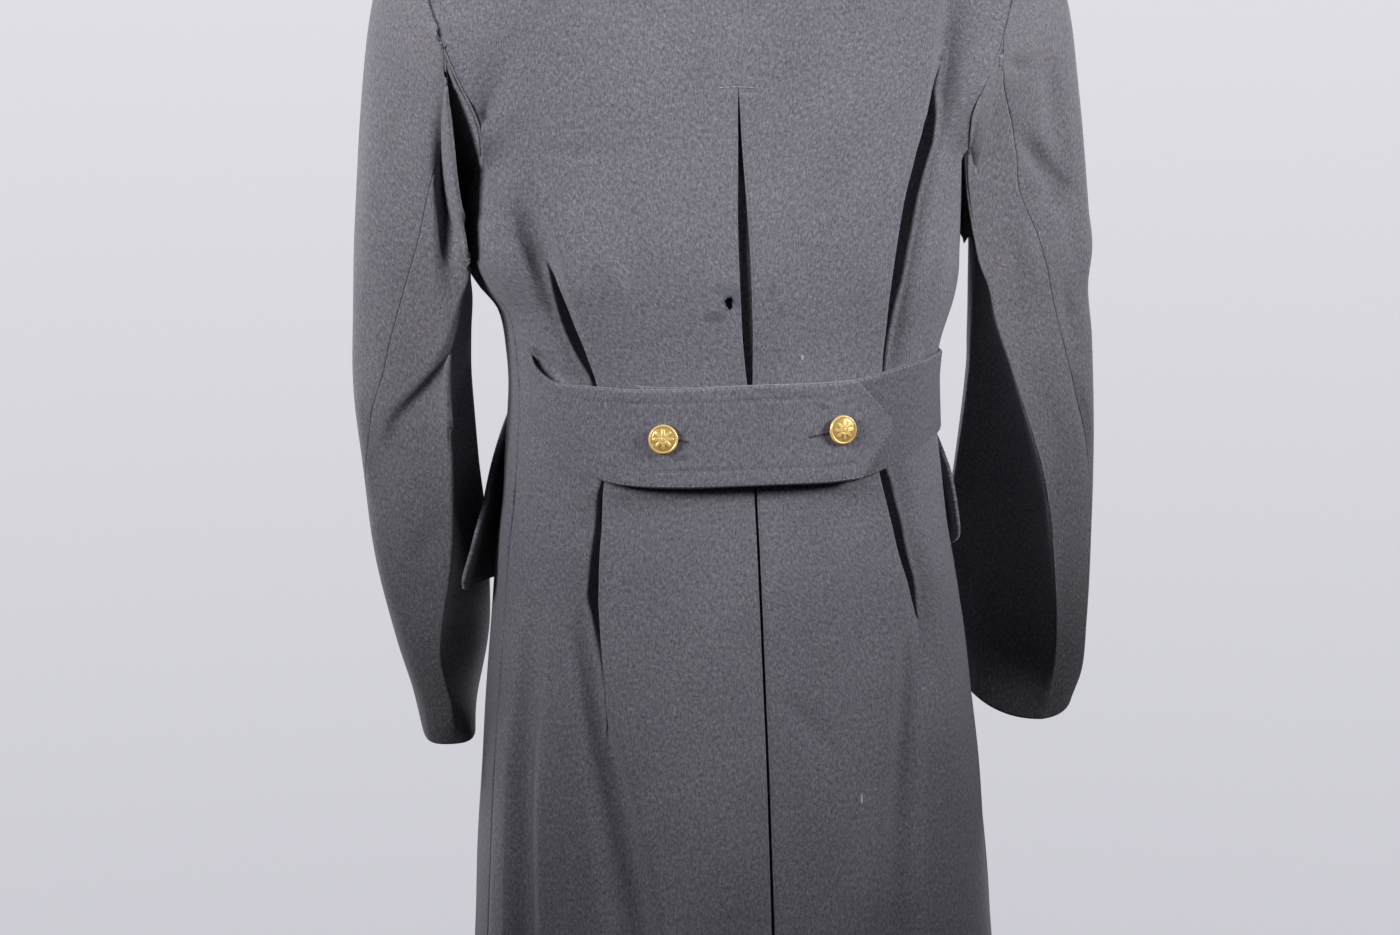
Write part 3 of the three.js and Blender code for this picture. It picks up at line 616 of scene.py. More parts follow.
def flat_sizes(places):
    """Width, length and area of a panel laid flat, in metres."""
    width = np.linalg.norm(np.diff(places, axis=1), axis=-1).sum(1)
    length = np.linalg.norm(np.diff(places, axis=0), axis=-1).sum(0)
    edge_a, edge_b = places[:-1, 1:] - places[:-1, :-1], places[1:, :-1] - places[:-1, :-1]
    edge_c, edge_d = places[1:, :-1] - places[1:, 1:], places[:-1, 1:] - places[1:, 1:]
    area = np.linalg.norm(np.cross(edge_a, edge_b), axis=-1).sum() / 2
    area += np.linalg.norm(np.cross(edge_c, edge_d), axis=-1).sum() / 2
    return width.max() / 1000, length.max() / 1000, area / 1e6


def add_node(tree, kind, settings=(), **inputs):
    """Shader node with its settings, and its inputs set to a number or linked to an output. An
    input is named with _ for a space, or as input0, input1 and so on where names are shared."""
    made = tree.nodes.new(kind)
    for name, value in dict(settings).items():
        setattr(made, name, value)
    for name, value in inputs.items():
        key = int(name.removeprefix("input")) if name.startswith("input") else name.replace("_", " ")
        socket = made.inputs[key]
        if isinstance(value, bpy.types.NodeSocket):
            tree.links.new(value, socket)
        else:
            socket.default_value = value
    return made


def ramp(tree, factor, stops):
    """Colour ramp through a list of places and colours."""
    made = add_node(tree, "ShaderNodeValToRGB", Fac=factor)
    elements = made.color_ramp.elements
    while len(elements) < len(stops):
        elements.new(0.5)
    for element, (place, colour) in zip(elements, stops):
        element.position = place
        element.color = (*colour, 1)
    return made.outputs["Color"]


def noise(tree, place, **inputs):
    """Even, cloudy noise over a place."""
    return add_node(tree, "ShaderNodeTexNoise", Vector=place, **inputs).outputs["Fac"]


def multiply_add(tree, value, factor, more):
    """A value times a factor, plus more."""
    settings = {"operation": "MULTIPLY_ADD"}
    return add_node(tree, "ShaderNodeMath", settings, input0=value, input1=factor, input2=more).outputs[0]


def dyed(tree, colour, dye):
    """A colour multiplied by a dye."""
    settings = {"data_type": "RGBA", "blend_type": "MULTIPLY"}
    return add_node(tree, "ShaderNodeMix", settings, input0=1.0, input6=colour, input7=dye).outputs[2]


def covered(tree, colour, cover, share):
    """A colour hidden by a cover of another colour, by a share."""
    settings = {"data_type": "RGBA"}
    return add_node(tree, "ShaderNodeMix", settings, input0=share, input6=colour, input7=cover).outputs[2]


def eased_range(tree, value, start, end, at_start, at_end):
    """A value led softly from one result at its start to another at its end."""
    return add_node(
        tree, "ShaderNodeMapRange", {"interpolation_type": "SMOOTHSTEP"}, Value=value,
        From_Min=start, From_Max=end, To_Min=at_start, To_Max=at_end,
    ).outputs["Result"]


def new_material(name):
    """Material without any shader nodes, and its empty node tree."""
    material = bpy.data.materials.new(name)
    material.use_nodes = True
    material.node_tree.nodes.clear()
    return material, material.node_tree


wool_tones = [
    (0.36, (0.074, 0.073, 0.089)),
    (0.50, (0.154, 0.152, 0.178)),
    (0.64, (0.278, 0.275, 0.304)),
]
wool_hues = [
    (0.38, (0.93, 1.0, 1.10)),
    (0.52, (1.0, 1.0, 1.0)),
    (0.66, (1.12, 1.0, 0.86)),
]
wool_clouds = [
    (0.32, (0.90, 0.90, 0.91)),
    (0.68, (1.08, 1.075, 1.06)),
]
cool_tint, warm_tint = np.array([0.985, 0.99, 1.03]), np.array([1.04, 1.0, 0.95])
elbow_height, cuff_height = -0.48, -0.75
strands = [
    {"lean": 0.24, "colour": (0.33, 0.325, 0.33)},
    {"lean": -0.3, "colour": (0.05, 0.052, 0.066)},
]


def wool_finish(name, warmth=0.5, marks=(), light=1.0, painted_cuff_shade=0.0):
    """Felted wool: a vertical nap of bluish and brownish fibres over a mottled grey ground.
    Each mark is a soft patch: its centre, its size, its colour and how strong it is. Painted cuff
    shade darkens a piece from its elbow down to its cuff, as painted shade where the light falls off."""
    material, tree = new_material(name)
    place = add_node(tree, "ShaderNodeTexCoord").outputs["Object"]
    cloth = add_node(tree, "ShaderNodeUVMap", {"uv_map": "cloth"}).outputs["UV"]
    nap_space = add_node(tree, "ShaderNodeMapping", Vector=cloth, Scale=(1, 0.38, 1)).outputs["Vector"]
    nap = noise(tree, nap_space, Scale=760, Detail=4, Roughness=0.7, Distortion=0.6)
    fleck = noise(tree, cloth, Scale=620, Detail=4, Roughness=0.75)
    mottle = noise(tree, cloth, Scale=330, Detail=5, Roughness=0.75)
    cloud = noise(tree, place, Scale=9, Detail=3, Roughness=0.5)
    ground_share = add_node(tree, "ShaderNodeMath", {"operation": "MULTIPLY"}, input0=mottle, input1=0.45)
    tone = multiply_add(tree, nap, 0.55, ground_share.outputs[0])
    coloured = ramp(tree, tone, [(at, tuple(part * light for part in colour)) for at, colour in wool_tones])
    coloured = dyed(tree, coloured, ramp(tree, fleck, wool_hues))
    coloured = dyed(tree, coloured, ramp(tree, cloud, wool_clouds))
    # Painted shade: the colour darkens from the elbow down to the cuff, standing in for light that falls off
    # lower down.
    if painted_cuff_shade:
        level = add_node(tree, "ShaderNodeSeparateXYZ", Vector=place).outputs["Z"]
        kept = eased_range(tree, level, cuff_height, elbow_height, 1 - painted_cuff_shade, 1.0)
        coloured = add_node(
            tree, "ShaderNodeVectorMath", {"operation": "SCALE"}, input0=coloured, Scale=kept,
        ).outputs["Vector"]
    coloured = dyed(tree, coloured, (*mix(cool_tint, warm_tint, warmth), 1))
    for strand in strands:
        strand_space = add_node(
            tree, "ShaderNodeMapping", Vector=cloth, Rotation=(0, 0, strand["lean"]), Scale=(1, 0.15, 1),
        ).outputs["Vector"]
        fibre = noise(tree, strand_space, Scale=1500, Detail=2, Roughness=0.5, Distortion=0.9)
        drawn = add_node(
            tree, "ShaderNodeMapRange", Value=fibre, From_Min=0.56, From_Max=0.72, To_Min=0.0, To_Max=0.5,
        ).outputs["Result"]
        coloured = covered(tree, coloured, (*(np.array(strand["colour"]) * light), 1), drawn)
    for centre, size, colour, strength in marks:
        spot = add_node(
            tree, "ShaderNodeMapping", {"vector_type": "TEXTURE"}, Vector=place,
            Location=tuple(v * millimetre for v in centre), Scale=tuple(v * millimetre for v in size),
        ).outputs["Vector"]
        rough = noise(tree, place, Scale=320, Detail=3)
        distance = add_node(tree, "ShaderNodeVectorMath", {"operation": "LENGTH"}, input0=spot)
        ragged = multiply_add(tree, rough, 0.9, distance.outputs["Value"])
        cover = eased_range(tree, ragged, 1.0, 1.55, strength, 0.0)
        coloured = covered(tree, coloured, (*colour, 1), cover)
    height = multiply_add(tree, mottle, 0.8, nap)
    relief = add_node(tree, "ShaderNodeBump", Strength=0.5, Distance=0.0009, Height=height).outputs["Normal"]
    wool = add_node(
        tree, "ShaderNodeBsdfPrincipled", Base_Color=coloured, Roughness=0.96, Normal=relief,
        Sheen_Weight=0.22, Sheen_Roughness=0.45, Sheen_Tint=(0.9, 0.92, 1.0, 1), Specular_IOR_Level=0.12,
    )
    output = add_node(tree, "ShaderNodeOutputMaterial", Surface=wool.outputs["BSDF"])
    output.is_active_output = True
    return material


moth_hole = {
    "x": 19, "z": -355, "half": 3.4, "tall": 5,
    "edge": [(0.13, 3, 0.6), (0.09, 7, 0), (0.05, 13, 0)],
}


def spaced_rows(stretches):
    """Rows of a grid over a list of stretches: where each starts and ends, and its steps."""
    rows = [np.linspace(start, end, steps + 1)[:-1] for start, end, steps in stretches]
    return np.concatenate((*rows, [stretches[-1][1]]))


back_rows = spaced_rows([(-90, 0, 77), (0, 101, 33), (101, 119, 30), (119, 401, 85), (401, 935, 89)])
back_top_z = -15
pleat_margin = {"lip": 0.5, "near": 1.5, "least": 7.5, "far": 21}
fold_margin = 16
fold_limits = (0.7, 0.8, 0.9, 0.96)
back_steps = [1, 3, 24, 30, 14, 32, 14, 24]
pleat_return = [34, 26, 18, 10, 4]
lip_turns = [180, 150, 120, 90, 60, 30]
return_gap = 0.8
seam_grooves = {"left": [(-1, 0.9), (-2, 0.3)], "right": [(-1, 0.2)]}
back_ripple_seed = {"left": 3, "right": 8}


def back_grid(side):
    """Grid of one back: the pleat's return, its lip, then the panel out to the side seam."""
    def columns_at(x):
        return column_at(side, "back", x, back_rows)

    above_armpit = mix(armpit_z, back_top_z, np.sin(np.radians(-back_rows)))
    z = np.where(back_rows < 0, above_armpit, armpit_z - back_rows)
    lip_radius = read(pleat_opening, "z", z, "lip")
    shift = read(pleat_centre, "z", z, "x") * (1 if side == "left" else -1)
    lip_x = read(pleat_opening, "z", z, "half") + lip_radius + shift
    fold = back_folds[side]
    fold_x = read(fold, "z", z, "x")
    reach = read(fold, "z", z, "half") + fold_lip
    beside_lip = shift + np.maximum(lip_x - shift + pleat_margin["near"], pleat_margin["least"])
    lip_columns = [columns_at(x) for x in (lip_x, lip_x + pleat_margin["lip"], beside_lip)]
    lip_columns.append(columns_at(shift + pleat_margin["far"]))
    fold_aways = (-reach - fold_margin, -reach, reach, reach + fold_margin)
    fold_columns = [
        np.minimum(columns_at(fold_x + away), limit) for away, limit in zip(fold_aways, fold_limits)
    ]
    columns = spread([*lip_columns, *fold_columns, np.ones_like(z)], back_steps)
    panel = body_form(side, "back", columns, back_rows[:, None])
    for trough in back_troughs[side]:
        panel = press_fold(panel, trough)
    for crease in back_creases[side]:
        panel = press_crease(panel, crease)
    first, count = sum(back_steps[:5]), back_steps[5]
    panel = cut_fold(panel, (first, first + count), fold, np.linspace(-1, 1, count + 1))
    panel = ripple(panel, size=110, height=0.55, seed=back_ripple_seed[side])
    normals, along = face_frames(panel)
    for column, sunk in seam_grooves[side]:
        panel[:, column] -= normals[:, column] * sunk
    lip_out, lip_along = normals[:, :1], along[:, :1]
    radius = lip_radius[:, None, None]
    centre = panel[:, :1] - lip_out * radius
    turns = np.radians(lip_turns)[None, :, None]
    roll = centre + (lip_out * np.cos(turns) - lip_along * np.sin(turns)) * radius
    rows = back_rows[:, None]
    return_columns = column_at(side, "back", lip_x[:, None] + np.array(pleat_return), rows)
    under = body_form(side, "back", return_columns, rows)
    under_out, _ = face_frames(under[:, ::-1])
    back_part = under - under_out[:, ::-1] * np.maximum(2 * radius, cloth_thickness + return_gap)
    return np.concatenate((back_part, roll, panel), 1)


stain = (0.072, 0.08, 0.104)
dark_nap = (0.075, 0.078, 0.092)
back_marks = {
    "left": [
        # The first mark, a near-black ring round the moth hole, is painted shade at the hole's edge.
        ((19.5, 115, -355), (5.6, 40, 7), (0.03, 0.034, 0.045), 0.6),
        ((31, 115, -366), (12, 40, 6), stain, 0.6),
        ((22, 115, -344), (13, 40, 6), stain, 0.35),
        ((12, 115, -352), (6, 40, 9), stain, 0.45),
        ((164, 80, -374), (2.6, 30, 2.2), dark_nap, 0.7),
    ],
    "right": [
        ((-17, 112, -345), (4, 40, 9), dark_nap, 0.32),
        ((-24, 112, -362), (3, 40, 8), dark_nap, 0.3),
        ((-30, 112, -330), (5, 40, 4), dark_nap, 0.22),
        ((-93, 104, -225), (5, 40, 4), dark_nap, 0.22),
        ((-41, 118, -401), (1.5, 40, 3), (0.6, 0.58, 0.55), 0.5),
        ((-79, 155, -765), (1.2, 40, 4.4), (0.62, 0.6, 0.56), 0.75),
    ],
}
for side in ("left", "right"):
    places = back_grid(side)
    holes = [moth_hole] if side == "left" else []
    panel = cloth_panel(f"back_{side}_cloth", places, mirrored=side == "right", holes=holes)
    panel.data.materials.append(wool_finish(f"back_{side}_wool", warmth=0.35, marks=back_marks[side]))
    width, length, area = flat_sizes(places)
    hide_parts(f"back_{side}")
    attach(panel, "root")

# Pleat underlay
# A strip of the same wool sewn behind the two lips from the nape to the hem. It shows as a dark
# sliver where the pleat stands open.
underlay_half = 32
underlay_depth = 6.8
underlay_x = np.linspace(-underlay_half, underlay_half, 17)
underlay_rows = back_rows[::2, None]
underlay_columns = column_at("left", "back", underlay_x, underlay_rows)
underlay = body_form("left", "back", underlay_columns, underlay_rows)
underlay_out, _ = face_frames(underlay)
underlay = underlay - underlay_out * underlay_depth
strip = cloth_panel("back_pleat_underlay_cloth", underlay)
strip.data.materials.append(wool_finish("underlay_wool", warmth=0.3))
width, length, area = flat_sizes(underlay)
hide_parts("back_pleat_underlay")
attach(strip, "root")

# Fronts, left and right
# Double-breasted fronts cut whole from the shoulder to the hem, joined to the backs at the side
# seams. The left one laps over the right one and is held by two rows of buttons.
front_overlap = {"below": 2.17, "at_neck": 2.0975, "ramp_below": 0.18, "ramp_at_neck": 0.03, "clear": 0.014}
front_lifts = {"below": 4.8, "at_neck": 3.6}
front_folds = {
    "left": troughs([
        (-280, 176, 0, 26, 26),
        (-400, 158, 9, 26, 26),
        (-520, 150, 12, 26, 26),
        (-700, 160, 12, 26, 26),
        (-1180, 172, 10, 26, 26),
    ]),
    "right": troughs([
        (-300, 170, 0, 26, 26),
        (-410, 152, 8, 26, 26),
        (-530, 146, 11, 26, 26),
        (-760, 152, 9, 26, 26),
        (-1180, 166, 12, 26, 26),
    ]),
}
front_rows = spaced_rows([(-90, 0, 59), (0, 935, 159)])
front_side_columns = (1.0, 1.6)
front_steps = [46, 40]
front_ripple_seed = {"left": 5, "right": 12}


def front_edge(row):
    """Column where a row of the fronts ends, past the centre."""
    rise = np.sin(np.radians(np.maximum(-row, 0)))
    return mix(front_overlap["below"], front_overlap["at_neck"], rise)


def front_lift(side, column, row):
    """How far a front is lifted at a place, where it laps over the other."""
    if side == "right":
        return np.zeros(np.broadcast(column, row).shape)
    rise = np.sin(np.radians(np.maximum(-row, 0)))
    full = 4 - front_edge(row) - front_overlap["clear"]
    start = full - mix(front_overlap["ramp_below"], front_overlap["ramp_at_neck"], rise)
    share = np.clip((column - start) / (full - start), 0, 1)
    return mix(front_lifts["below"], front_lifts["at_neck"], rise ** 4) * share * share * (3 - 2 * share)


def front_grid(side):
    """Grid of one front, from the side seam to its edge past the centre."""
    rows = front_rows[:, None]
    edge = front_edge(front_rows)
    columns = spread([*(np.full_like(edge, column) for column in front_side_columns), edge], front_steps)
    panel = body_form(side, "front", columns, rows)
    for fold in front_folds[side]:
        panel = press_fold(panel, fold)
    panel = ripple(panel, size=130, height=0.5, seed=front_ripple_seed[side])
    normals, _ = face_frames(panel)
    return panel + normals * front_lift(side, columns, rows)[..., None]


for side in ("left", "right"):
    places = front_grid(side)
    panel = cloth_panel(f"front_{side}_cloth", places, mirrored=side == "right")
    panel.data.materials.append(wool_finish(f"front_{side}_wool", warmth=0.35))
    width, length, area = flat_sizes(places)
    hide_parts(f"front_{side}")
    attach(panel, "root")

# Sleeves, left and right
# Two-piece sleeves of the same wool, set into the armholes and left plain at the cuff. The elbow
# seam shows down the back of each, and the cloth breaks over the elbow into long flat planes.
sleeve_rings = {
    "left": table("ring out_x out_y out_z in_x in_y in_z back front drop sag ridge sharp hollow blunt", [
        (0, 258, -8, -50, 212.9, 43.3, -245, 50, 78, 0, 0, 0, 0, 0, 0.55),
        (1, 279, -7, -66, 220, 20, -264, 62, 76, 0, 0, -12, 0.3, 10, 0.55),
        (2, 292, -7, -106, 221, 8, -290, 66, 76, 0, 0, -20, 0.6, 24, 0.55),
        (3, 303, -8, -180, 221, 2, -326, 66, 76, 0, 0, -30, 0.6, 26, 0.6),
        (4, 312, -12, -280, 218, -6, -368, 66, 74, 0, 0, -40, 0.1, 0, 0.6),
        (5, 318, -20, -388, 218, -20, -425, 68, 70, 0.05, 0, -25, 0.7, 16, 0.55),
        (6, 315, -30, -480, 214, -34, -492, 66, 66, 0.1, 0, -24, 0.7, 24, 0.55),
        (7, 306, -44, -565, 206, -52, -560, 64, 64, 0.15, 0, -14, 0.65, 22, 0.55),
        (8, 290, -60, -650, 205, -72, -636, 62, 64, 0.2, 0, 6, 0.4, 12, 0.6),
        (9, 276, -74, -700, 213, -86, -692, 61, 66, 0.22, 0, 0, 0.3, 8, 0.7),
        (10, 268, -82, -736, 221, -92, -728, 54, 68, 0.22, 1, 0, 0, 0, 0.85),
    ]),
    "right": table("ring out_x out_y out_z in_x in_y in_z back front drop sag ridge sharp hollow blunt", [
        (0, 258, -8, -50, 201.2, 43.3, -245, 50, 78, 0, 0, 0, 0, 0, 0.55),
        (1, 284, -7, -64, 202, 20, -318, 62, 76, 0, 0, -24, 0, 0, 0.55),
        (2, 306, -7, -106, 215, 8, -312, 62, 76, 0, 0, -60, 0.3, 0, 0.55),
        (3, 317, -8, -180, 221, 0, -334, 63, 76, 0, 0, -74, 0.6, 6, 0.55),
        (4, 328, -12, -285, 223, -12, -372, 65, 72, 0, 0, -68, 0.85, 20, 0.55),
        (4.3, 333, -14, -318, 223, -14.5, -389, 64, 70.5, 0.01, 0, -60, 0.87, 23, 0.55),
        (4.6, 331, -17, -354, 223, -17.5, -407, 63.5, 69, 0.02, 0, -52, 0.88, 26.5, 0.55),
        (5, 336, -20, -400, 223, -22, -432, 62, 66, 0.05, 0, -40, 0.9, 32, 0.55),
        (6, 340, -28, -510, 217, -40, -512, 58, 60, 0.1, 0, -3, 0.9, 36, 0.55),
        (7, 341, -38, -600, 212, -62, -585, 52, 56, 0.15, 0, 17, 0.88, 34, 0.55),
        (8, 341, -48, -668, 214, -86, -645, 46, 52, 0.15, 6, 27, 0.75, 24, 0.55),
        (9, 340, -54, -712, 220, -100, -681, 40, 48, 0.15, 16, 26, 0.4, 12, 0.6),
        (10, 332, -58, -734, 226, -106, -702, 36, 46, 0.15, 36, 20, 0.1, 4, 0.65),
    ]),
}
elbow_seams = {
    "left": table("z x", [
        (-40, 224), (-185, 222), (-205, 228), (-222, 237), (-236, 246), (-267, 256),
        (-301, 264), (-330, 273), (-360, 282), (-389, 290), (-417, 296), (-436, 303),
        (-465, 308), (-500, 312), (-560, 308), (-620, 300), (-760, 268),
    ]),
    "right": table("z x", [
        (-40, 212), (-110, 212), (-150, 217), (-171, 226), (-194, 233), (-223, 242),
        (-245, 246), (-266, 247), (-290, 256), (-310, 267), (-340, 277), (-373, 287),
        (-414, 300), (-449, 311), (-492, 326), (-540, 333), (-600, 336), (-760, 334),
    ]),
}
fore_seam_turn = 131.2
cuff_rings = (8.2, 9.8)
armhole_rings = (0, 1.6)
sharp_pull = {"outer": 0.36, "inner": 0.2, "inner_rear": 0.4}
hollow_aside = 0.7


def bend(start, start_pull, end_pull, end, share):
    """Point of a curve between two points, drawn by a pull from each."""
    rest = 1 - share
    near_start = start * rest ** 3 + 3 * start_pull * rest ** 2 * share
    return near_start + 3 * end_pull * rest * share ** 2 + end * share ** 3


def sleeve_form(side, turn, ring):
    """Point of a sleeve. A turn is degrees round it from its outer side, to the rear as plus."""
    turn, ring = np.broadcast_arrays(np.asarray(turn, float), np.asarray(ring, float))
    rings = sleeve_rings[side]

    def value(name):
        return read(rings, "ring", ring, name)

    def pull_depthwise(start, end):
        return start + (end - start) * flat_y * pull

    def pull_crosswise(start, end):
        return start + (end - start) * flat_x * pull

    outer = np.stack([value(f"out_{axis}") for axis in "xyz"], -1)
    inner = np.stack([value(f"in_{axis}") for axis in "xyz"], -1)
    middle = (outer + inner) / 2
    zero, one = np.zeros_like(ring), np.ones_like(ring)
    rear_drop = -value("drop") * value("back") - value("sag")
    rear = middle + np.stack((value("ridge"), value("back"), rear_drop), -1)
    fore = middle + np.stack((zero, -value("front"), value("drop") * value("front")), -1)
    sharp, hollow = value("sharp")[..., None], value("hollow")[..., None]
    flat_x = np.stack((one, zero, 1 - ease(ring, *cuff_rings)), -1)
    flat_y = np.array([0, 1, 1])
    pull = value("blunt")[..., None]
    place = np.mod(turn, 360)
    share = np.mod(place, 90)[..., None] / 90
    inward = np.stack((one * hollow_aside, -one, zero), -1) * hollow
    rear_out = mix(pull_crosswise(rear, outer), rear + (outer - rear) * sharp_pull["outer"], sharp)
    rear_in = mix(pull_crosswise(rear, inner), rear + (inner - rear) * sharp_pull["inner"], sharp)
    inner_rear = mix(
        pull_depthwise(inner, rear), inner + (rear - inner) * sharp_pull["inner_rear"], sharp * 0.5,
    )
    quarters = [
        bend(outer, pull_depthwise(outer, rear), rear_out, rear, share),
        bend(rear, rear_in + inward, inner_rear + inward, inner, share),
        bend(inner, pull_depthwise(inner, fore), pull_crosswise(fore, inner), fore, share),
        bend(fore, pull_crosswise(fore, outer), pull_depthwise(outer, fore), outer, share),
    ]
    in_quarter = [((place >= 90 * n) & (place < 90 * n + 90))[..., None] for n in range(4)]
    point = np.select(in_quarter, quarters)
    rise = (1 + np.cos(np.radians(turn))) / 2
    row = -np.degrees(np.arcsin(np.clip(rise, 0, 1)))
    row = np.minimum(row, -1e-6)
    column = np.ones_like(row)
    behind = body_form(side, "back", column, row)
    ahead = body_form(side, "front", column, row)
    hole = np.where((place < 180)[..., None], behind, ahead)
    return mix(hole, point, ease(ring, *armhole_rings)[..., None])


sleeve_creases = {
    "left": creases(
        [(229, -248, 0, 4), (230, -275, -3, 5), (229, -310, -4, 5.5), (225, -340, 0, 6)],
        [(316, -300, 0, 10), (306, -350, 2.5, 10), (312, -410, 2, 10), (310, -440, 0, 10)],
        [(262, -150, 0, 14), (274, -210, 2, 14), (284, -270, 0, 14)],
        [(240, -520, 0, 10), (262, -560, 2, 10), (284, -590, 0, 10)],
    ),
    "right": creases(
        [(224, -166, 0, 6), (240, -167, 3.5, 6), (267, -170, 0, 8)],
        [(240, -216, 0, 8), (262, -240, 5, 9), (282, -266, 5, 9), (291, -296, 0, 9)],
        [(268, -288, 0, 6), (282, -278, 5, 6), (308, -262, 0, 8)],
        [(250, -270, 0, 12), (258, -320, -4, 12), (270, -370, 0, 12)],
        [(296, -340, 0, 8), (302, -376, 4, 9), (310, -430, 0, 9)],
        [(270, -440, 0, 12), (290, -480, 2.5, 12), (300, -530, 0, 12)],
    ),
}
sleeve_steps = {
    "left": troughs(
        [
            (-325, 213, 0, 60, 4),
            (-342, 219, 6, 60, 10),
            (-388, 236, 8, 66, 12),
            (-410, 247, 9, 70, 14),
            (-431, 264, 8.5, 76, 16),
            (-449, 279, 7, 80, 17),
            (-474, 289, 5, 84, 18),
            (-498, 299, 3, 96, 18),
            (-540, 306, 0, 90, 20),
        ],
        [
            (-150, 234, 0, 60, 14),
            (-190, 236, 5, 80, 14),
            (-235, 240, 13, 84, 12),
            (-270, 241, 16, 84, 11),
            (-305, 241, 12, 70, 12),
            (-340, 236, 5, 44, 18),
            (-390, 230, 0, 20, 18),
        ],
        [
            (-420, 300, 0, 12, 12),
            (-455, 306, 3, 12, 14),
            (-520, 300, 3, 16, 18),
            (-600, 292, 0, 18, 18),
        ],
    ),
    "right": troughs(
        [
            (-430, 306, 0, 8, 14),
            (-462, 316, 4, 8, 14),
            (-500, 327, 4, 8, 12),
            (-540, 334, 0, 8, 8),
        ],
        [
            (-230, 266, 0, 26, 10),
            (-252, 280, 4, 26, 10),
            (-262, 290, 3, 26, 10),
            (-275, 300, 0, 26, 10),
        ],
        [
            (-130, 262, 0, 16, 16),
            (-190, 280, 3, 18, 18),
            (-290, 300, 3, 18, 18),
            (-380, 318, 0, 14, 12),
        ],
    ),
}


def press_step(places, fold):
    """Presses a fold straight in from behind, on the rear face only: a sharp far side and a wide
    near side make a step, where one part of the cloth lies over the other."""
    normals, _ = face_frames(places)
    z = places[..., 2]
    away = places[..., 0] - read(fold, "z", z, "x")
    pressed = places.copy()
    pressed[..., 1] -= fold_depth(fold, z, away) * ease(normals[..., 1], -0.3, 0.3)
    return pressed


seam_smoothing = 11
seam_turns = (4.0, 88.0)


def elbow_turn(side, rings):
    """Turn round the sleeve at which its rear face meets the elbow seam."""
    near, far = (np.full_like(rings, turn) for turn in seam_turns)
    for _ in range(30):
        middle = (near + far) / 2
        point = sleeve_form(side, middle, rings)
        inside = point[:, 0] < read(elbow_seams[side], "z", point[:, 2], "x")
        near, far = np.where(inside, near, middle), np.where(inside, middle, far)
    turn = (near + far) / 2
    window = np.hanning(seam_smoothing)
    padded = np.pad(turn, seam_smoothing // 2, mode="edge")
    return np.convolve(padded, window / window.sum(), "valid")


sleeve_levels = spaced_rows([(0, 0.12, 4), (0.12, 1, 15), (1, 10, 189)])
sleeve_groove = {"turn": 1.2, "deep": 0.6}
sleeve_ripple_seed = {"left": 21, "right": 34}
sewn_rings = (0.15, 1.1)
rear_facing = (0, 0.4)
armhole_sink = {"left": 1.4, "right": 1.9}
armhole_sink_way = np.array([0.3, 0.95, 0])
armhole_sink_by = 0.14


def sleeve_grids(side):
    """Grids of the top sleeve and the under sleeve, rows from the armhole to the cuff."""
    level = sleeve_levels
    seam = elbow_turn(side, level)
    ahead = np.full_like(seam, -fore_seam_turn)
    inside = np.full_like(seam, 360 - fore_seam_turn)
    groove = sleeve_groove["turn"]
    zero = np.zeros_like(seam)
    top = spread([seam, seam - groove, zero, ahead + groove, ahead], [3, 26, 36, 2])
    under = spread([inside, inside - groove, zero + 180, zero + 90, seam + groove, seam], [2, 14, 26, 22, 3])
    grids = []
    for turns in (top, under):
        places = sleeve_form(side, turns, level[:, None])
        sewn_on = ease(level, *sewn_rings)[:, None, None]
        for fold in sleeve_steps[side]:
            places = mix(places, press_step(places, fold), sewn_on)
        normals, _ = face_frames(places)
        rear = ease(normals[..., 1:2], *rear_facing)
        for crease in sleeve_creases[side]:
            places = mix(places, press_crease(places, crease), rear)
        places = ripple(places, size=120, height=0.6, seed=sleeve_ripple_seed[side])
        normals, _ = face_frames(places)
        sunk = np.clip(1 - np.abs(turns - seam[:, None]) / groove, 0, 1) ** 2 * sleeve_groove["deep"]
        places = places - normals * sunk[..., None]
        at_armhole = np.clip(1 - level[:, None] / armhole_sink_by, 0, 1)
        rear = ease(np.sin(np.radians(turns)), *rear_facing) * at_armhole
        grids.append(places - rear[..., None] * armhole_sink[side] * armhole_sink_way)
    return grids


for side in ("left", "right"):
    for part, places in zip(("top", "under"), sleeve_grids(side)):
        panel = cloth_panel(f"sleeve_{side}_{part}_cloth", places, mirrored=side == "right")
        # The sleeves get painted shade that darkens them from the elbow down to the cuff.
        finish = wool_finish(f"sleeve_{side}_{part}_wool", warmth=0.65, light=1.06, painted_cuff_shade=0.38)
        panel.data.materials.append(finish)
        width, length, area = flat_sizes(places)
        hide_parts(f"sleeve_{side}_{part}")
        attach(panel, "root")

# Collar
# A stand and a turned-down fall cut as one strip, sewn round the neckline and closed at the
# throat.
stand = {"foot": 0.6, "height": 42, "inset": 6.4, "crest": 4.6, "wall": 3.6}
fall_bulge = 3
fall_edge = table("angle out drop", [
    (0, 24, -48),
    (35, 32, -44),
    (65, 48, -26),
    (90, 56, -10),
    (115, 54, -14),
    (145, 40, -30),
    (179, 34, -52),
])


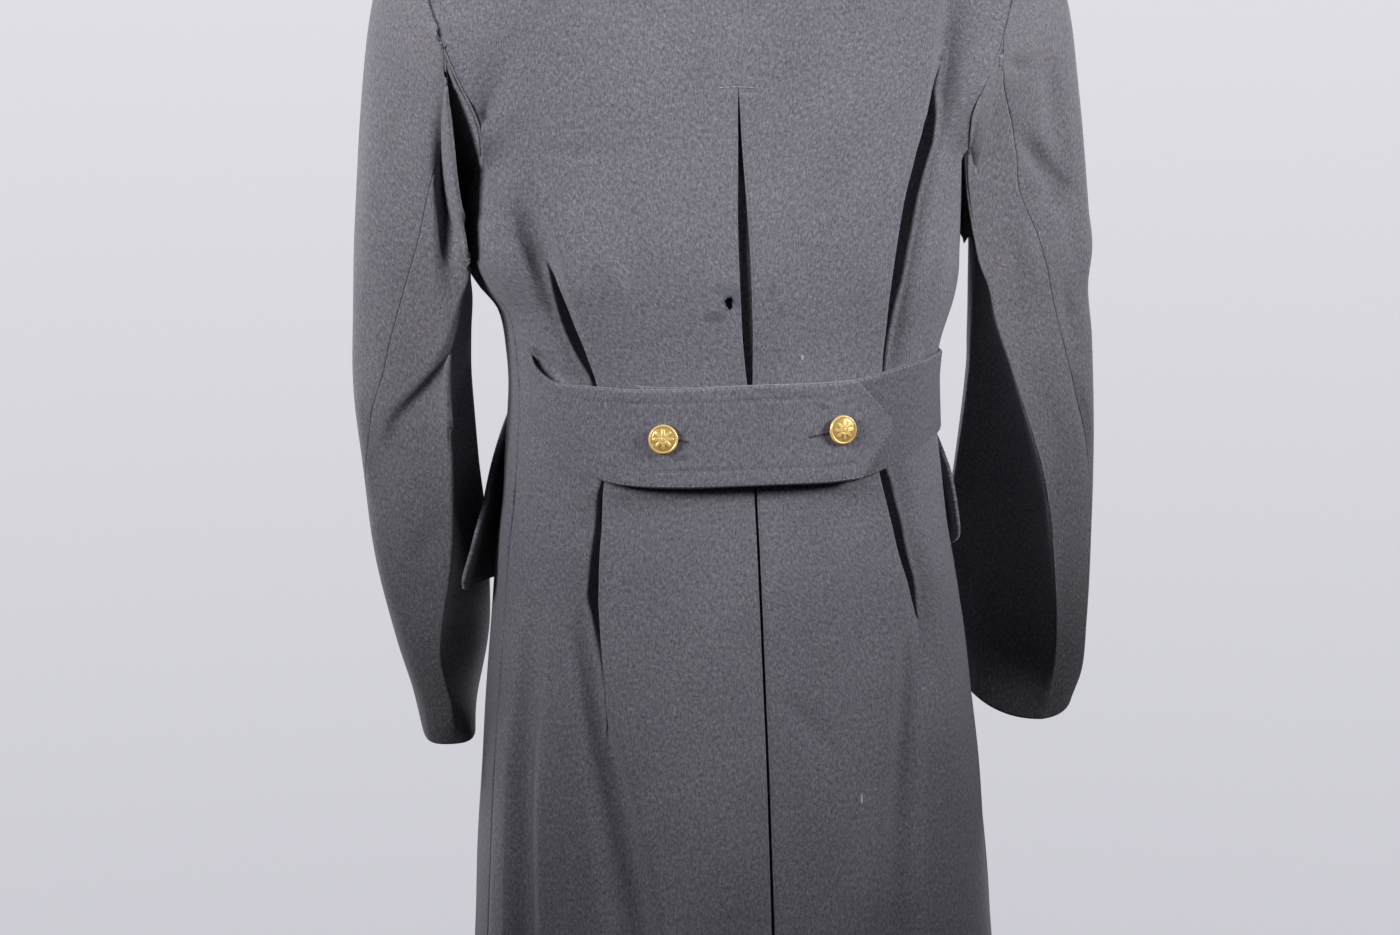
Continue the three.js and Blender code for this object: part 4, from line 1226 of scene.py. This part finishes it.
def collar_grid():
    """Grid of the collar: rows from the stand's foot over the crest to the fall's edge."""
    angles = np.linspace(-179, 179, 120)
    turned = np.abs(angles)
    foot = neckline(np.radians(turned))
    foot[:, 0] *= np.where(angles < 0, -1, 1)
    depth = np.where(turned > 90, neck["front"], neck["back"])
    outward = unit(np.stack((
        np.sin(np.radians(angles)) / neck["half"],
        np.cos(np.radians(angles)) / depth,
        0 * angles,
    ), -1))
    out = read(fall_edge, "angle", turned, "out")
    drop = read(fall_edge, "angle", turned, "drop")
    crest_z = stand["height"] - stand["crest"]
    crest_out = stand["crest"] - stand["inset"]
    rows = []
    for z in np.linspace(stand["foot"], crest_z, 10):
        rows.append(foot + outward * -stand["inset"] + np.array([0, 0, z]))
    for turn in np.radians(np.linspace(165, 15, 9)):
        over = outward * (crest_out + stand["crest"] * np.cos(turn))
        rows.append(foot + over + np.array([0, 0, crest_z + stand["crest"] * np.sin(turn)]))
    for share in np.linspace(0, 1, 22):
        bulge = fall_bulge * np.sin(np.pi * share)
        way = mix(crest_out + stand["crest"], out, share) + bulge
        place = foot + outward * way[:, None]
        place[:, 2] += mix(crest_z, drop, share)
        rows.append(place)
    return np.array(rows)


places = collar_grid()
collar = cloth_panel("collar_cloth", places, stand["wall"])
collar.data.materials.append(wool_finish("collar_wool", warmth=0.35))
width, length, area = flat_sizes(places)
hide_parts("collar")
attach(collar, "root")

# Half belt
# Two doubled halves caught in the side folds. The left one laps over the right one, ends in a
# blunt point and is held by two gilt buttons. Its lower edge stands a little off the coat.
doubled_thickness = 4
belt_edges = {
    "left": table("x top bottom", [
        (0, -422, -504),
        (84, -423, -503),
        (126, -420.5, -496),
        (155, -418, -477),
        (164, -412.5, -470),
        (170, -405.5, -465),
        (175, -398, -460),
        (190, -392, -450),
    ]),
    "right": table("x top bottom", [
        (0, -422, -504),
        (84, -421, -503),
        (126, -413, -491),
        (188, -402, -468),
    ]),
}
belt = {
    "width": 82, "lap": 0.8, "under_end": 98,
    "tip_x": 111, "tip_start": 84, "tip_z": -460, "tip_blunt": 0.93,
}
belt_thickness = doubled_thickness - 0.8
belt_slack = {"out": 3.6, "from": 100, "to": 165}
belt_lap_ends = 150
belt_tip_rise = {"out": 3.6, "from": 60, "to": 104}
belt_sewn_in = {"left": (171, 182, 1), "right": (174, 181, 0.5)}
belt_sewn_deeper = 3


def belt_edge(side, x, edge):
    """Height of the half belt's top or bottom edge at a distance from the centre."""
    away = np.abs(x)
    z = np.where(
        np.asarray(x) > 0,
        read(belt_edges[side], "x", away, edge),
        read(belt_edges["right"], "x", away, edge),
    )
    if side == "right":
        return z
    share = np.clip((-x - belt["tip_start"]) / (belt["tip_x"] - belt["tip_start"]), 0, 1)
    return np.where(x > -belt["tip_start"], z, mix(z, belt["tip_z"], belt["tip_blunt"] * share))


def belt_places(side, x, part):
    """Points of the half belt's outer face, and its outward normals there."""
    z = mix(belt_edge(side, x, "top"), belt_edge(side, x, "bottom"), part)
    top = read(belt_edges["right"], "x", np.abs(x), "top")
    down = np.clip((z - top) / (read(belt_edges["right"], "x", np.abs(x), "bottom") - top), 0, 1)
    row = armpit_z - z
    column = column_at(side, "back", x, row)
    point = body_form(side, "back", column, row)
    step = 1e-3
    along = body_form(side, "back", column + step, row) - body_form(side, "back", column - step, row)
    fall = body_form(side, "back", column, row + step) - body_form(side, "back", column, row - step)
    normal = unit(np.cross(along, fall))
    middle = 1 - ease(np.abs(x), belt_slack["from"], belt_slack["to"])
    lapped = 1 - ease(x, belt["under_end"], belt_lap_ends) if side == "left" else 0
    layer = belt["lap"] + doubled_thickness
    sewn_from, sewn_to, sewn_share = belt_sewn_in[side]
    sewn_in = ease(x, sewn_from, sewn_to) * sewn_share
    rise = ease(-x, belt_tip_rise["from"], belt_tip_rise["to"]) * belt_tip_rise["out"]
    raised = rise if side == "left" else 0
    slack = belt_slack["out"] * down * down * middle
    out = layer + lapped * layer + slack - sewn_in * (layer + belt_sewn_deeper) + raised
    return point + normal * out[..., None], normal


def thread_finish(name, colour):
    """Twisted sewing thread."""
    material, tree = new_material(name)
    place = add_node(tree, "ShaderNodeTexCoord").outputs["Object"]
    twist = noise(tree, place, Scale=900, Detail=2)
    dark, light = (tuple(np.array(colour) * share) for share in (0.6, 1.2))
    shade = ramp(tree, twist, [(0.35, dark), (0.65, light)])
    thread = add_node(tree, "ShaderNodeBsdfPrincipled", Base_Color=shade, Roughness=0.8, Sheen_Weight=0.2)
    add_node(tree, "ShaderNodeOutputMaterial", Surface=thread.outputs["BSDF"])
    return material


pale_thread = thread_finish("pale_thread", (0.36, 0.345, 0.325))
grey_thread = thread_finish("grey_thread", (0.19, 0.186, 0.19))
tack_thread = thread_finish("tack_thread", (0.42, 0.36, 0.27))
# hole_thread serves the buttonhole stitches, and the slit, where it is painted shade.
hole_thread = thread_finish("hole_thread", (0.07, 0.05, 0.045))


thread_sides = 6
stitch_bow = np.array([-1.2, 0.55, 1, 0.55, -1.2])
stitch_taper = (0.6, 1, 1, 1, 0.6)
stitch_stray = 0.12


def sew_row(name, path, normals, material, stitch, gap, radius, sink=0.1, seed=1):
    """Row of stitches along a path on the cloth: each one is a short bowed thread."""
    rng = np.random.default_rng(seed)
    reach = np.concatenate(([0], np.cumsum(np.linalg.norm(np.diff(path, axis=0), axis=1))))
    shape = bmesh.new()
    start = 0
    while start + stitch <= reach[-1]:
        long = stitch * rng.uniform(0.85, 1.1)
        at = start + np.linspace(0, min(long, reach[-1] - start), len(stitch_bow))
        line = np.stack([np.interp(at, reach, path[:, k]) for k in range(3)], -1)
        out = unit(np.stack([np.interp(at, reach, normals[:, k]) for k in range(3)], -1))
        bow = stitch_bow * radius - sink
        line = line + out * bow[:, None]
        along = unit(np.gradient(line, axis=0))
        sideways = np.cross(along, out)
        line = line + sideways * rng.normal(0, stitch_stray)
        rings = []
        for place, aside, up, thick in zip(line, sideways, out, stitch_taper):
            ring = []
            for turn in np.linspace(0, 2 * np.pi, thread_sides, endpoint=False):
                corner = place + (aside * np.cos(turn) + up * np.sin(turn)) * radius * thick
                ring.append(shape.verts.new(corner * millimetre))
            rings.append(ring)
        for one, other in zip(rings[:-1], rings[1:]):
            for k in range(thread_sides):
                after = (k + 1) % thread_sides
                shape.faces.new((one[k], one[after], other[after], other[k]))
        shape.faces.new(rings[0][::-1])
        shape.faces.new(rings[-1])
        start += long + gap
    row = closed_piece(name, shape, material)
    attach(row, "root")


belt_rows_inset = {"top": 12, "bottom": 14}
edge_inset = 2
edge_roll = {"deep": 2.4, "width": 2.2}
end_roll = {"deep": 2, "width": 1.6}
edge_pull = {"deep": 0.35, "width": 0.9}
row_pull = {"deep": 0.5, "width": 1.1, "fades": (-84, -76)}
row_margin = 0.028
belt_far_end = {"left": 186, "right": 181}
belt_end_parts = [0, 0.006, 0.012, 0.02, 0.03, 0.042]
belt_ripple_seed = {"left": 41, "right": 47}
belt_marks = {
    "left": [((64, 130, -478), (9, 30, 3), dark_nap, 0.5), ((-56, 130, -441), (5, 30, 3), dark_nap, 0.6)],
    "right": [],
}
# Lightness of each half: the right half, lying under the left one, is made darker as painted shade of the
# lap.
belt_painted_lap_shade = {"left": 0.96, "right": 0.84}
sewn_deep = 0.45
for side in ("left", "right"):
    sign = 1 if side == "left" else -1
    start = -belt["tip_x"] if side == "left" else -belt["under_end"]
    end = belt_far_end[side]
    x = spaced_rows([(start, start + 4, 6), (start + 4, end, 149)])
    row_parts = (belt_rows_inset["top"] / belt["width"], 1 - belt_rows_inset["bottom"] / belt["width"])
    near_rows = [row + away for row in row_parts for away in (-0.02, -0.01, 0, 0.01, 0.02)]
    even = [
        part for part in np.linspace(0.06, 0.94, 34)
        if min(abs(part - row) for row in row_parts) > row_margin
    ]
    parts = np.array(sorted([*belt_end_parts, *[1 - part for part in belt_end_parts], *near_rows, *even]))
    places, normals = belt_places(side, x[None, :], parts[:, None])
    places = ripple(places, size=70, height=0.35, seed=belt_ripple_seed[side])
    from_edge = np.minimum(parts, 1 - parts)[:, None] * belt["width"]
    rolled = edge_roll["deep"] * np.clip(1 - from_edge / edge_roll["width"], 0, 1) ** 2
    from_end = np.clip(1 - (x - start) / end_roll["width"], 0, 1)[None, :] ** 2 * end_roll["deep"]
    quilted = edge_pull["deep"] * np.exp(-((from_edge - edge_inset) / edge_pull["width"]) ** 2)
    if side == "left":
        fading = ease(x, *row_pull["fades"])[None, :]
        for row in row_parts:
            from_row = (parts[:, None] - row) * belt["width"]
            quilted = quilted + row_pull["deep"] * np.exp(-(from_row / row_pull["width"]) ** 2) * fading
    places = places - normals * (np.maximum(rolled, from_end) + quilted)[..., None]
    half = cloth_panel(f"half_belt_{side}_cloth", places, belt_thickness, mirrored=side == "right")
    finish = wool_finish(
        f"half_belt_{side}_wool", warmth=0.25, marks=belt_marks[side], light=belt_painted_lap_shade[side],
    )
    half.data.materials.append(finish)
    width, length, area = flat_sizes(places)
    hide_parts(f"half_belt_{side}")
    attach(half, "root")
    inset = edge_inset / belt["width"]
    sewn_x = np.linspace(start + 2.5, end - 8, 300)
    inner_x = np.linspace(-80, end - 10, 300)
    rows = [
        ("top_edge", sewn_x, inset, pale_thread, 2.6, 1.5, 0.3),
        ("bottom_edge", sewn_x, 1 - inset, pale_thread, 2.6, 1.5, 0.3),
    ]
    if side == "left":
        point_parts = np.linspace(inset, 1 - inset, 60)
        rows += [
            ("point", np.full(60, start + 2.2), point_parts, pale_thread, 2.6, 1.2, 0.42),
            ("top_row", inner_x, row_parts[0], grey_thread, 2.8, 1.2, 0.34),
            ("bottom_row", inner_x, row_parts[1], grey_thread, 2.8, 1.2, 0.34),
        ]
    mirror = np.array([sign, 1, 1])
    for order, (label, row_x, row_part, thread, stitch, gap, radius) in enumerate(rows):
        path, out = belt_places(side, row_x, np.broadcast_to(row_part, row_x.shape))
        path = (path - out * sewn_deep) * mirror
        sew_row(
            f"half_belt_{side}_{label}", path, out * mirror, thread, stitch, gap, radius,
            sink=0.05, seed=order + 2,
        )

buttonholes = {
    "left": {"x": (76, 53), "z": (-463, -465.5)},
    "right": {"x": (-71, -40), "z": (-461, -466)},
}
for side, slit in buttonholes.items():
    row_x = np.linspace(*slit["x"], 40)
    row_z = np.linspace(*slit["z"], 40)
    top, bottom = belt_edge("left", row_x, "top"), belt_edge("left", row_x, "bottom")
    path, out = belt_places("left", row_x, (row_z - top) / (bottom - top))
    # The slit is a raised row of near-black thread: painted shade of the open cut. The rows on its edges are
    # the buttonhole stitches.
    sew_row(
        f"buttonhole_{side}_slit", path, out, hole_thread, stitch=4.5, gap=0.2, radius=0.5,
        sink=-0.15, seed=3,
    )
    for edge, away in (("upper", 0.8), ("lower", -0.8)):
        edge_path = path + np.array([0, 0, away])
        sew_row(
            f"buttonhole_{side}_{edge}", edge_path, out, hole_thread, stitch=1.6, gap=0.5, radius=0.28,
            sink=0, seed=5,
        )

bar_tack = {"x": (23, -10), "z": -182.6, "wave": 0.5, "wave_length": 6, "out": 0.2}
tack_x = np.linspace(*bar_tack["x"], 60)
tack_z = bar_tack["z"] + bar_tack["wave"] * np.sin(tack_x / bar_tack["wave_length"])
tack_row = -np.degrees(np.arcsin((tack_z - armpit_z) / (0 - armpit_z)))
for _ in range(8):
    tack_place = body_form("left", "back", column_at("left", "back", tack_x, tack_row), tack_row)
    tack_row = tack_row + (tack_place[:, 2] - tack_z) * 0.25
tack_out = unit(np.tile([0, 1, 0.15], (60, 1)))
tack_place = tack_place + np.array([0, bar_tack["out"], 0])
sew_row("bar_tack", tack_place, tack_out, tack_thread, stitch=4.6, gap=0.5, radius=0.42, sink=0.0, seed=9)

# Pocket flaps
# Doubled flaps sewn into slanting pockets at the hips. They stand off the coat at their free
# edge, and show as dark edges beside the sleeves.
flap_rows = {
    "left": table("z sewn free off", [
        (-448, 1.486, 1.36, 0.5),
        (-480, 1.475, 1.25, 4),
        (-520, 1.455, 1.14, 11),
        (-560, 1.434, 1.08, 20),
        (-590, 1.42, 1.06, 28),
        (-602, 1.414, 1.1, 24),
    ]),
    "right": table("z sewn free off", [
        (-448, 1.486, 1.32, 0.5),
        (-480, 1.475, 1.2, 5),
        (-520, 1.455, 1.12, 9),
        (-560, 1.434, 1.1, 9),
        (-578, 1.42, 1.12, 8),
        (-590, 1.414, 1.2, 6),
    ]),
}
flap_gap = 0.9
flap_curl = 1.6
for side in ("left", "right"):
    rows = flap_rows[side]
    z = np.linspace(rows["z"].max(), rows["z"].min(), 34)[:, None]
    parts = np.linspace(0, 1, 22)[None, :]
    column = mix(read(rows, "z", z, "free"), read(rows, "z", z, "sewn"), parts)
    ground = body_form(side, "front", column, armpit_z - z)
    normals, _ = face_frames(ground)
    out = flap_gap + doubled_thickness + read(rows, "z", z, "off") * (1 - parts) ** flap_curl
    places = ground + normals * out[..., None]
    flap = cloth_panel(f"pocket_flap_{side}_cloth", places, doubled_thickness, mirrored=side == "right")
    flap.data.materials.append(wool_finish(f"pocket_flap_{side}_wool", warmth=0.35))
    width, length, area = flat_sizes(places)
    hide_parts(f"pocket_flap_{side}")
    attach(flap, "root")

# Buttons
# Domed gilt metal buttons with a raised rim and a plain rosette, sewn on by a shank. Two hold the
# half belt and two rows of four close the fronts.
def gilt_finish():
    """Bright gilt, with painted shade in its recesses."""
    material, tree = new_material("gilt")
    place = add_node(tree, "ShaderNodeTexCoord").outputs["Object"]
    wear = noise(tree, place, Scale=420, Detail=4)
    colour = ramp(tree, wear, [
        (0.35, (0.98, 0.60, 0.16)),
        (0.65, (1.0, 0.78, 0.34)),
    ])
    recess = add_node(tree, "ShaderNodeAttribute", {"attribute_name": "recess"}).outputs["Fac"]
    # The recess attribute paints shade between the petals and inside the rim.
    colour = covered(tree, colour, (0.50, 0.25, 0.05, 1), recess)
    metal = add_node(tree, "ShaderNodeBsdfPrincipled", Base_Color=colour, Metallic=0.3, Roughness=0.3)
    add_node(tree, "ShaderNodeOutputMaterial", Surface=metal.outputs["BSDF"])
    return material


gilt = gilt_finish()
button_radius = 12
button_sides = 96
face_rings = [*np.linspace(0.35, 11.6, 34), 11.85, button_radius]
dome_profile = table("radius height", [
    (0, 5.6), (3, 5.5), (6, 5.1), (8.8, 4.6), (9.4, 4.3), (10, 4.2), (10.5, 4.5),
    (11.1, 4.4), (11.5, 4), (11.9, 3.4), (button_radius, 2.9),
])
back_rings = [(button_radius, 2.9), (11.6, 2.2), (9, 1.9), (4.4, 2.0), (4.2, 0.6)]
petal_pairs, rope_turns = 4, 36
petal_length = {"least": 3.8, "more": 4.8}
relief_heights = {"petal": 0.62, "vein": 0.4, "boss": 0.75, "rope": 0.35}


def button_relief(radius, turn):
    """Height of the relief on the button's face: eight petals about a boss, in a roped rim."""
    petals = np.cos(petal_pairs * turn) ** 2
    length = petal_length["least"] + petal_length["more"] * petals ** 0.8
    petal = ease(length - radius, -0.35, 0.7) * ease(radius, 1.9, 2.6)
    vein = np.exp(-((np.abs(np.sin(petal_pairs * turn)) * radius) / 0.28) ** 2) * petal * 0.35
    boss = ease(2.0 - radius, -0.3, 0.7) * relief_heights["boss"]
    in_rim = ease(radius, 10.3, 10.6) * ease(11.7 - radius, 0, 0.4)
    rope = (0.5 + 0.5 * np.cos(rope_turns * turn + radius * 1.6)) * in_rim
    rosette = relief_heights["petal"] * petal - relief_heights["vein"] * vein
    return rosette + boss + relief_heights["rope"] * rope


def button_recess(radius, relief):
    """How deep in shade each place of the button's face lies: between petals and inside the rim."""
    between = np.clip(1 - relief * 2.2, 0, 1) * ease(10 - radius, 0, 0.6) * 0.5
    inside_rim = 0.5 * np.exp(-((radius - 9.8) / 0.35) ** 2)
    return between + inside_rim


def sew_button(name, node, point, out):
    """Button standing on a point of the cloth, facing out."""
    turns = np.linspace(0, 2 * np.pi, button_sides, endpoint=False)
    radius, turn = np.meshgrid(face_rings, turns, indexing="ij")
    relief = button_relief(radius, turn)
    height = read(dome_profile, "radius", radius, "height") + relief
    shape = bmesh.new()

    def ring_of(radii, heights):
        places = zip(radii * np.cos(turns), radii * np.sin(turns), heights * np.ones(button_sides))
        return [shape.verts.new((x * millimetre, y * millimetre, z * millimetre)) for x, y, z in places]

    grid = [ring_of(*line) for line in zip(radius, height)]
    grid += [ring_of(*line) for line in back_rings]
    for one, other in zip(grid[:-1], grid[1:]):
        for k in range(button_sides):
            after = (k + 1) % button_sides
            shape.faces.new((one[k], other[k], other[after], one[after]))
    shape.faces.new(grid[0])
    shape.faces.new(grid[-1][::-1])
    shape.verts.index_update()
    axis = Vector(out)
    across_face = Vector((0, 0, 1)).cross(axis).normalized()
    up_face = axis.cross(across_face)
    turned = Matrix((across_face, up_face, axis)).transposed().to_4x4()
    placed = Matrix.Translation(Vector(point) * millimetre) @ turned
    bmesh.ops.transform(shape, matrix=placed, verts=shape.verts[:])
    piece = closed_piece(name, shape, gilt)
    plain_back = np.zeros(len(back_rings) * button_sides)
    recessed = np.concatenate((button_recess(radius, relief).ravel(), plain_back))
    shade = piece.data.attributes.new("recess", "FLOAT", "POINT")
    shade.data.foreach_set("value", np.clip(recessed, 0, 1).astype(np.float32))
    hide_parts(node)
    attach(piece, "root")


belt_buttons = {
    "left": {"x": 75.0, "z": -463},
    "right": {"x": -69.0, "z": -461},
}
for side, button in belt_buttons.items():
    x, z = np.array([[button["x"]]]), button["z"]
    top, bottom = belt_edge("left", x, "top"), belt_edge("left", x, "bottom")
    places, normals = belt_places("left", x, (z - top) / (bottom - top))
    sew_button(f"belt_button_{side}_gilt", f"belt_button_{side}", places[0, 0], normals[0, 0])

front_button_x = 56
front_button_heights = (-128, -238, -348, -458)
for order, z in enumerate(front_button_heights, 1):
    for side in ("left", "right"):
        x = front_button_x if side == "left" else -front_button_x
        row = armpit_z - z
        if z > armpit_z:
            row = -np.degrees(np.arcsin((z - armpit_z) / (neck["front_z"] - armpit_z)))
        column = column_at("left", "front", np.array([float(x)]), np.array([float(row)]))
        steps = np.array([[-1e-3, 0, 1e-3]])
        rows = row + np.array([[-0.05], [0], [0.05]])
        patch = body_form("left", "front", column + steps, rows)
        normals, _ = face_frames(patch)
        out = normals[1, 1]
        point = patch[1, 1] + out * front_lift("left", column, np.array([float(row)]))
        sew_button(f"front_button_{side}_{order}_gilt", f"front_button_{side}_{order}", point, out)

# Floor and light
# A round dark grey floor under the hem and a pale room. Two small lights stand at either side of
# the coat's back, and two large ones at either side of its front.
floor_radius = 0.8
floor_gap = 0.03
floor_shape = bmesh.new()
bmesh.ops.create_circle(floor_shape, cap_ends=True, segments=96, radius=floor_radius)
bmesh.ops.translate(floor_shape, verts=floor_shape.verts[:], vec=(0, 0, cad_box[0][2] - floor_gap))
floor_mesh = bpy.data.meshes.new("floor")
floor_shape.to_mesh(floor_mesh)
floor_shape.free()
floor = bpy.data.objects.new("floor", floor_mesh)
bpy.context.scene.collection.objects.link(floor)
floor_paint = bpy.data.materials.new("floor_paint")
floor_paint.use_nodes = True
paint = floor_paint.node_tree.nodes["Principled BSDF"]
paint.inputs["Base Color"].default_value = (0.24, 0.24, 0.26, 1)
paint.inputs["Roughness"].default_value = 0.8
floor_mesh.materials.append(floor_paint)


def soft_light(name, place, aim, size, power, spread):
    """Soft light of a size at a place, turned to its aim. Its spread is in degrees."""
    data = bpy.data.lights.new(name, "AREA")
    data.shape = "RECTANGLE"
    data.size, data.size_y = size
    data.energy = power
    data.spread = np.radians(spread)
    light = bpy.data.objects.new(name, data)
    light.location = place
    light.rotation_euler = (Vector(aim) - Vector(place)).to_track_quat("-Z", "Y").to_euler()
    bpy.context.scene.collection.objects.link(light)


for side, sign, power in (("left", 1, 4.2), ("right", -1, 4.6)):
    place, aim = (1.55 * sign, 0.91, 0.32), (-0.1 * sign, 0.1, -0.24)
    soft_light(f"key_{side}", place, aim, size=(0.6, 0.6), power=power, spread=54.6)
for side, sign in (("left", 1), ("right", -1)):
    place, aim = (1.6 * sign, -2.0, 0.6), (0, 0, -0.4)
    soft_light(f"front_{side}", place, aim, size=(1.0, 1.2), power=14, spread=80)

world = bpy.data.worlds.new("room")
bpy.context.scene.world = world
world.use_nodes = True
tree = world.node_tree
tree.nodes.clear()
direction = add_node(tree, "ShaderNodeTexCoord").outputs["Generated"]
height = add_node(tree, "ShaderNodeSeparateXYZ", Vector=direction).outputs["Z"]
up_wall = add_node(tree, "ShaderNodeMapRange", Value=height, From_Min=-0.36, From_Max=0.06).outputs["Result"]
wall = ramp(tree, up_wall, [
    (0.0, (0.60, 0.595, 0.65)),
    (1.0, (0.74, 0.74, 0.78)),
])
seen = add_node(tree, "ShaderNodeBackground", Color=wall, Strength=1.0).outputs["Background"]
fill = add_node(tree, "ShaderNodeBackground", Color=(0.8, 0.82, 0.9, 1), Strength=0.016).outputs["Background"]
direct = add_node(tree, "ShaderNodeLightPath").outputs["Is Camera Ray"]
both = add_node(tree, "ShaderNodeMixShader", input0=direct, input1=fill, input2=seen).outputs["Shader"]
add_node(tree, "ShaderNodeOutputWorld", Surface=both)

bpy.context.scene.view_settings.view_transform = "Standard"
bpy.context.view_layer.update()
